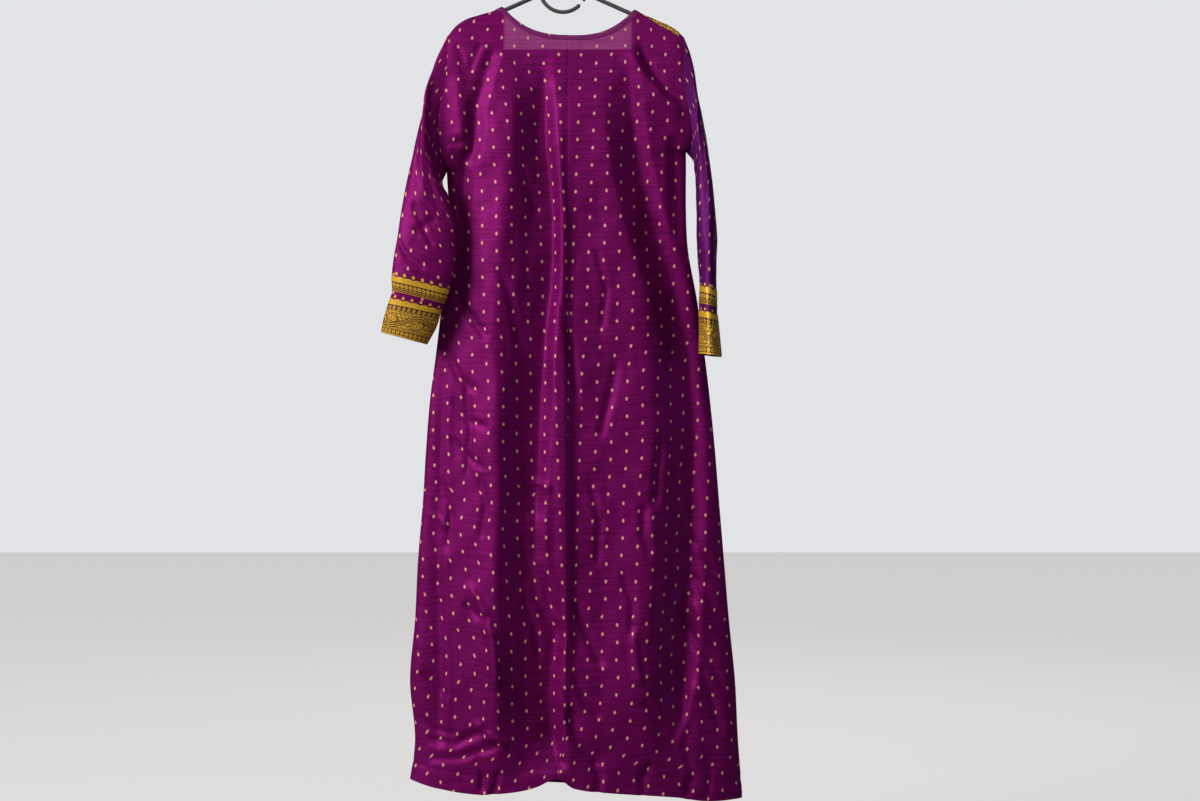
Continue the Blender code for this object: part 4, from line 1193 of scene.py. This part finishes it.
def border_material(name, silk, ornament, swapped=False):
    """Gold thread woven into the silk, a little proud of it."""
    material, tree = new_material(name)
    s, t = cloth_place(tree)
    if swapped:
        s, t = t, s
    gold, dark = ornament(Pattern(s, t))
    slub = weave(s, t, ZARI_SLUBS, detail=3.0, rough=0.65)
    thread = weave(s, t, ZARI_THREADS, 3.0)
    glints = cover(0.62 - weave(s, t, ZARI_GLINTS, 5.0), 0.12)
    ground = blend_colour(tree, slub * 1.1, silk.dark, silk.bright)
    ground = blend_colour(tree, dark * 0.85, ground, MAROON)
    metal = blend_colour(tree, thread * 1.5 - 0.25, DEEP_GOLD, GOLD)
    metal = blend_colour(tree, glints * 0.5, metal, PALE_GOLD)
    shader = set_shader(tree, {
        "Base Color": blend_colour(tree, gold, ground, metal),
        "Metallic": 0.30 - gold * 0.12,
        "Roughness": thread * 0.18 + 0.30,
        "Specular IOR Level": 0.30,
    })
    set_bump(tree, shader, gold * 0.8 + thread * 0.3 + slub * 0.2, ZARI_RELIEF)
    return material


def plastic_material():
    """Moulded dark grey plastic, faintly mottled and lightly rubbed."""
    material, tree = new_material("hanger_plastic")
    x, y, z = object_place(tree)
    grain = noise(tree, x * 900, y * 900, z * 900)
    rub = noise(tree, x * 60, y * 60, z * 60, detail=4.0)
    colour = blend_colour(tree, rub, *PLASTIC)
    shader = set_shader(tree, {"Base Color": colour, "Roughness": rub * 0.18 + 0.30})
    set_bump(tree, shader, grain, PLASTIC_RELIEF)
    return material


def place_piece(piece, material, slot, node, *rests_on):
    piece.data.materials.append(material)
    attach(piece, "root")
    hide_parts(node)


def make_panels():
    plain = {side: silk_material("silk_" + side, SHOT_SILK, lean=SIGN[side] * DOT_LEAN, facing=True)
             for side in ("left", "right")}
    for face, columns in (("back", BACK_COLUMNS), ("front", FRONT_COLUMNS)):
        for side in ("left", "right"):
            cloth = panel_cloth(Half(face, side, columns))
            name = face + "_" + side
            piece = shell(name + "_silk", cloth, hem_rise(cloth), hem_fall(cloth))
            place_piece(piece, plain[side], "shot_silk", name, "hanger_arm_" + side)
            if face == "front":
                make_front_border(side, columns, cloth)


def make_border(name, band, material, below):
    piece = shell(name + "_zari", band, BORDER_RISE, -(BORDER_RISE - BORDER_DEPTH))
    place_piece(piece, material, "gold_border", name, below)
    return piece


def make_front_border(side, columns, cloth):
    kept = (columns >= NECK_COLUMNS) & (columns <= NECK_COLUMNS + BORDER_COLUMNS)
    band = part_of(cloth, columns=np.flatnonzero(kept))
    around = np.abs(band.around - band.around[:, :1])
    band = band._replace(around=around * BORDER_WIDTH / around[:, -1:])
    material = border_material("zari_front_" + side, SHOT_SILK, wide_ornament, swapped=True)
    make_border("front_border_" + side, band, material, "front_" + side + "_silk")


def make_sleeves():
    # The right sleeve and its cuffs take the painted-shade copy of the silk, darker and bluer where they turn
    # away from the light
    for side, silk, slot in (("left", SHOT_SILK, "shot_silk"), ("right", PAINTED_SHADE_SILK, "shot_silk_shade")):
        cloth, bands = sleeve_cloth(side)
        name = "sleeve_" + side
        pip_rows = [(cloth.along[bands[kind][0], 0] + at, radius) for kind, (at, radius) in PIP_ROWS.items()]
        material = silk_material("silk_" + name, silk, first=SLEEVE_DOT_FIRST, pip_rows=pip_rows)
        piece = shell(name + "_silk", cloth, 0.0, CLOTH)
        place_piece(piece, material, slot, name, "back_" + side + "_silk")
        for kind, ornament in (("narrow", narrow_ornament), ("wide", wide_ornament)):
            start, stop = bands[kind]
            band = part_of(cloth, rows=slice(start, stop + 1))
            down = band.along[:1] - band.along
            band = band._replace(along=down * BORDER_DEPTHS[kind] / down[-1:])
            label = "cuff_" + kind + "_" + side
            material = border_material("zari_" + label, silk, ornament)
            piece = make_border(label, band, material, name + "_silk")
            piece.visible_diffuse = piece.visible_glossy = False  # no gold glow on the silk beside it


def make_neck():
    panels = ("back_left_silk", "back_right_silk")
    cloth = binding_cloth()
    shares = np.linspace(0, 1, cloth.points.shape[0])[:, None]
    round_edge = np.maximum(1 - (2 * shares - 1) ** BINDING_ROUNDING, BINDING_EDGE)
    piece = shell("neck_binding_silk", cloth, BINDING_RISE * np.sqrt(round_edge), BINDING_DEPTH)
    material = silk_material("silk_binding", BINDING_SILK, first=BINDING_DOT_FIRST)
    place_piece(piece, material, "neck_binding_silk", "neck_binding", *panels)
    piece = shell("back_neck_facing_silk", facing_cloth(), -(FACING_DEPTH - CLOTH), FACING_DEPTH)
    material = silk_material("silk_facing", SHOT_SILK, first=FACING_DOT_FIRST)
    place_piece(piece, material, "shot_silk", "back_neck_facing", *panels)


def finish_hanger():
    plastic = plastic_material()
    for name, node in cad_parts.items():
        if name.startswith("hanger_"):
            for place in node.material_slots:
                place.material = plastic


def add_light(name, place, aim, size, power, colour):
    light = bpy.data.lights.new(name, "AREA")
    light.shape = "RECTANGLE"
    light.size, light.size_y = size
    light.energy = power
    light.color = colour
    lamp = add_object(name, light)
    lamp.location = place
    lamp.rotation_euler = (Vector(aim) - Vector(place)).to_track_quat("-Z", "Y").to_euler()


def camera_share(tree, seen, lit):
    """One strength where the camera looks straight at it, another for the light that it gives."""
    path = tree.nodes.new("ShaderNodeLightPath")
    return calculate(tree, "MULTIPLY_ADD", Field(tree, path.outputs["Is Camera Ray"]), seen - lit, lit)


def make_studio():
    """Pale floor, soft light from the front left, and the photograph's camera."""
    mesh = bpy.data.meshes.new("floor")
    corners = ((-1, -1), (1, -1), (1, 1), (-1, 1))
    mesh.from_pydata([(x * FLOOR_HALF, y * FLOOR_HALF, FLOOR_Z) for x, y in corners], [], [range(4)])
    floor = add_object("floor", mesh)
    material, tree = new_material("floor")
    set_shader(tree, {
        "Base Color": (0.20, 0.20, 0.20, 1),
        "Roughness": 0.9,
        "Emission Color": (0.78, 0.77, 0.76, 1),
        "Emission Strength": camera_share(tree, 0.78, 0.0),
    })
    mesh.materials.append(material)
    for name, light in LIGHTS.items():
        add_light(name, *light)
    world = bpy.context.scene.world or bpy.data.worlds.new("studio")
    bpy.context.scene.world = world
    world.use_nodes = True
    tree = world.node_tree
    background = tree.nodes["Background"]
    background.inputs["Color"].default_value = (0.80, 0.81, 0.83, 1)
    put(tree, camera_share(tree, 0.95, 0.03), background.inputs["Strength"])
    bpy.context.scene.view_settings.view_transform = "Standard"
    camera = bpy.data.cameras.new("camera")
    camera.sensor_width = SENSOR_WIDTH
    camera.lens = LENS
    eye = add_object("camera", camera)
    eye.location = CAMERA_PLACE
    eye.rotation_euler = (math.pi / 2, 0, 0)
    bpy.context.scene.camera = eye


make_studio()
make_panels()
make_sleeves()
make_neck()
finish_hanger()
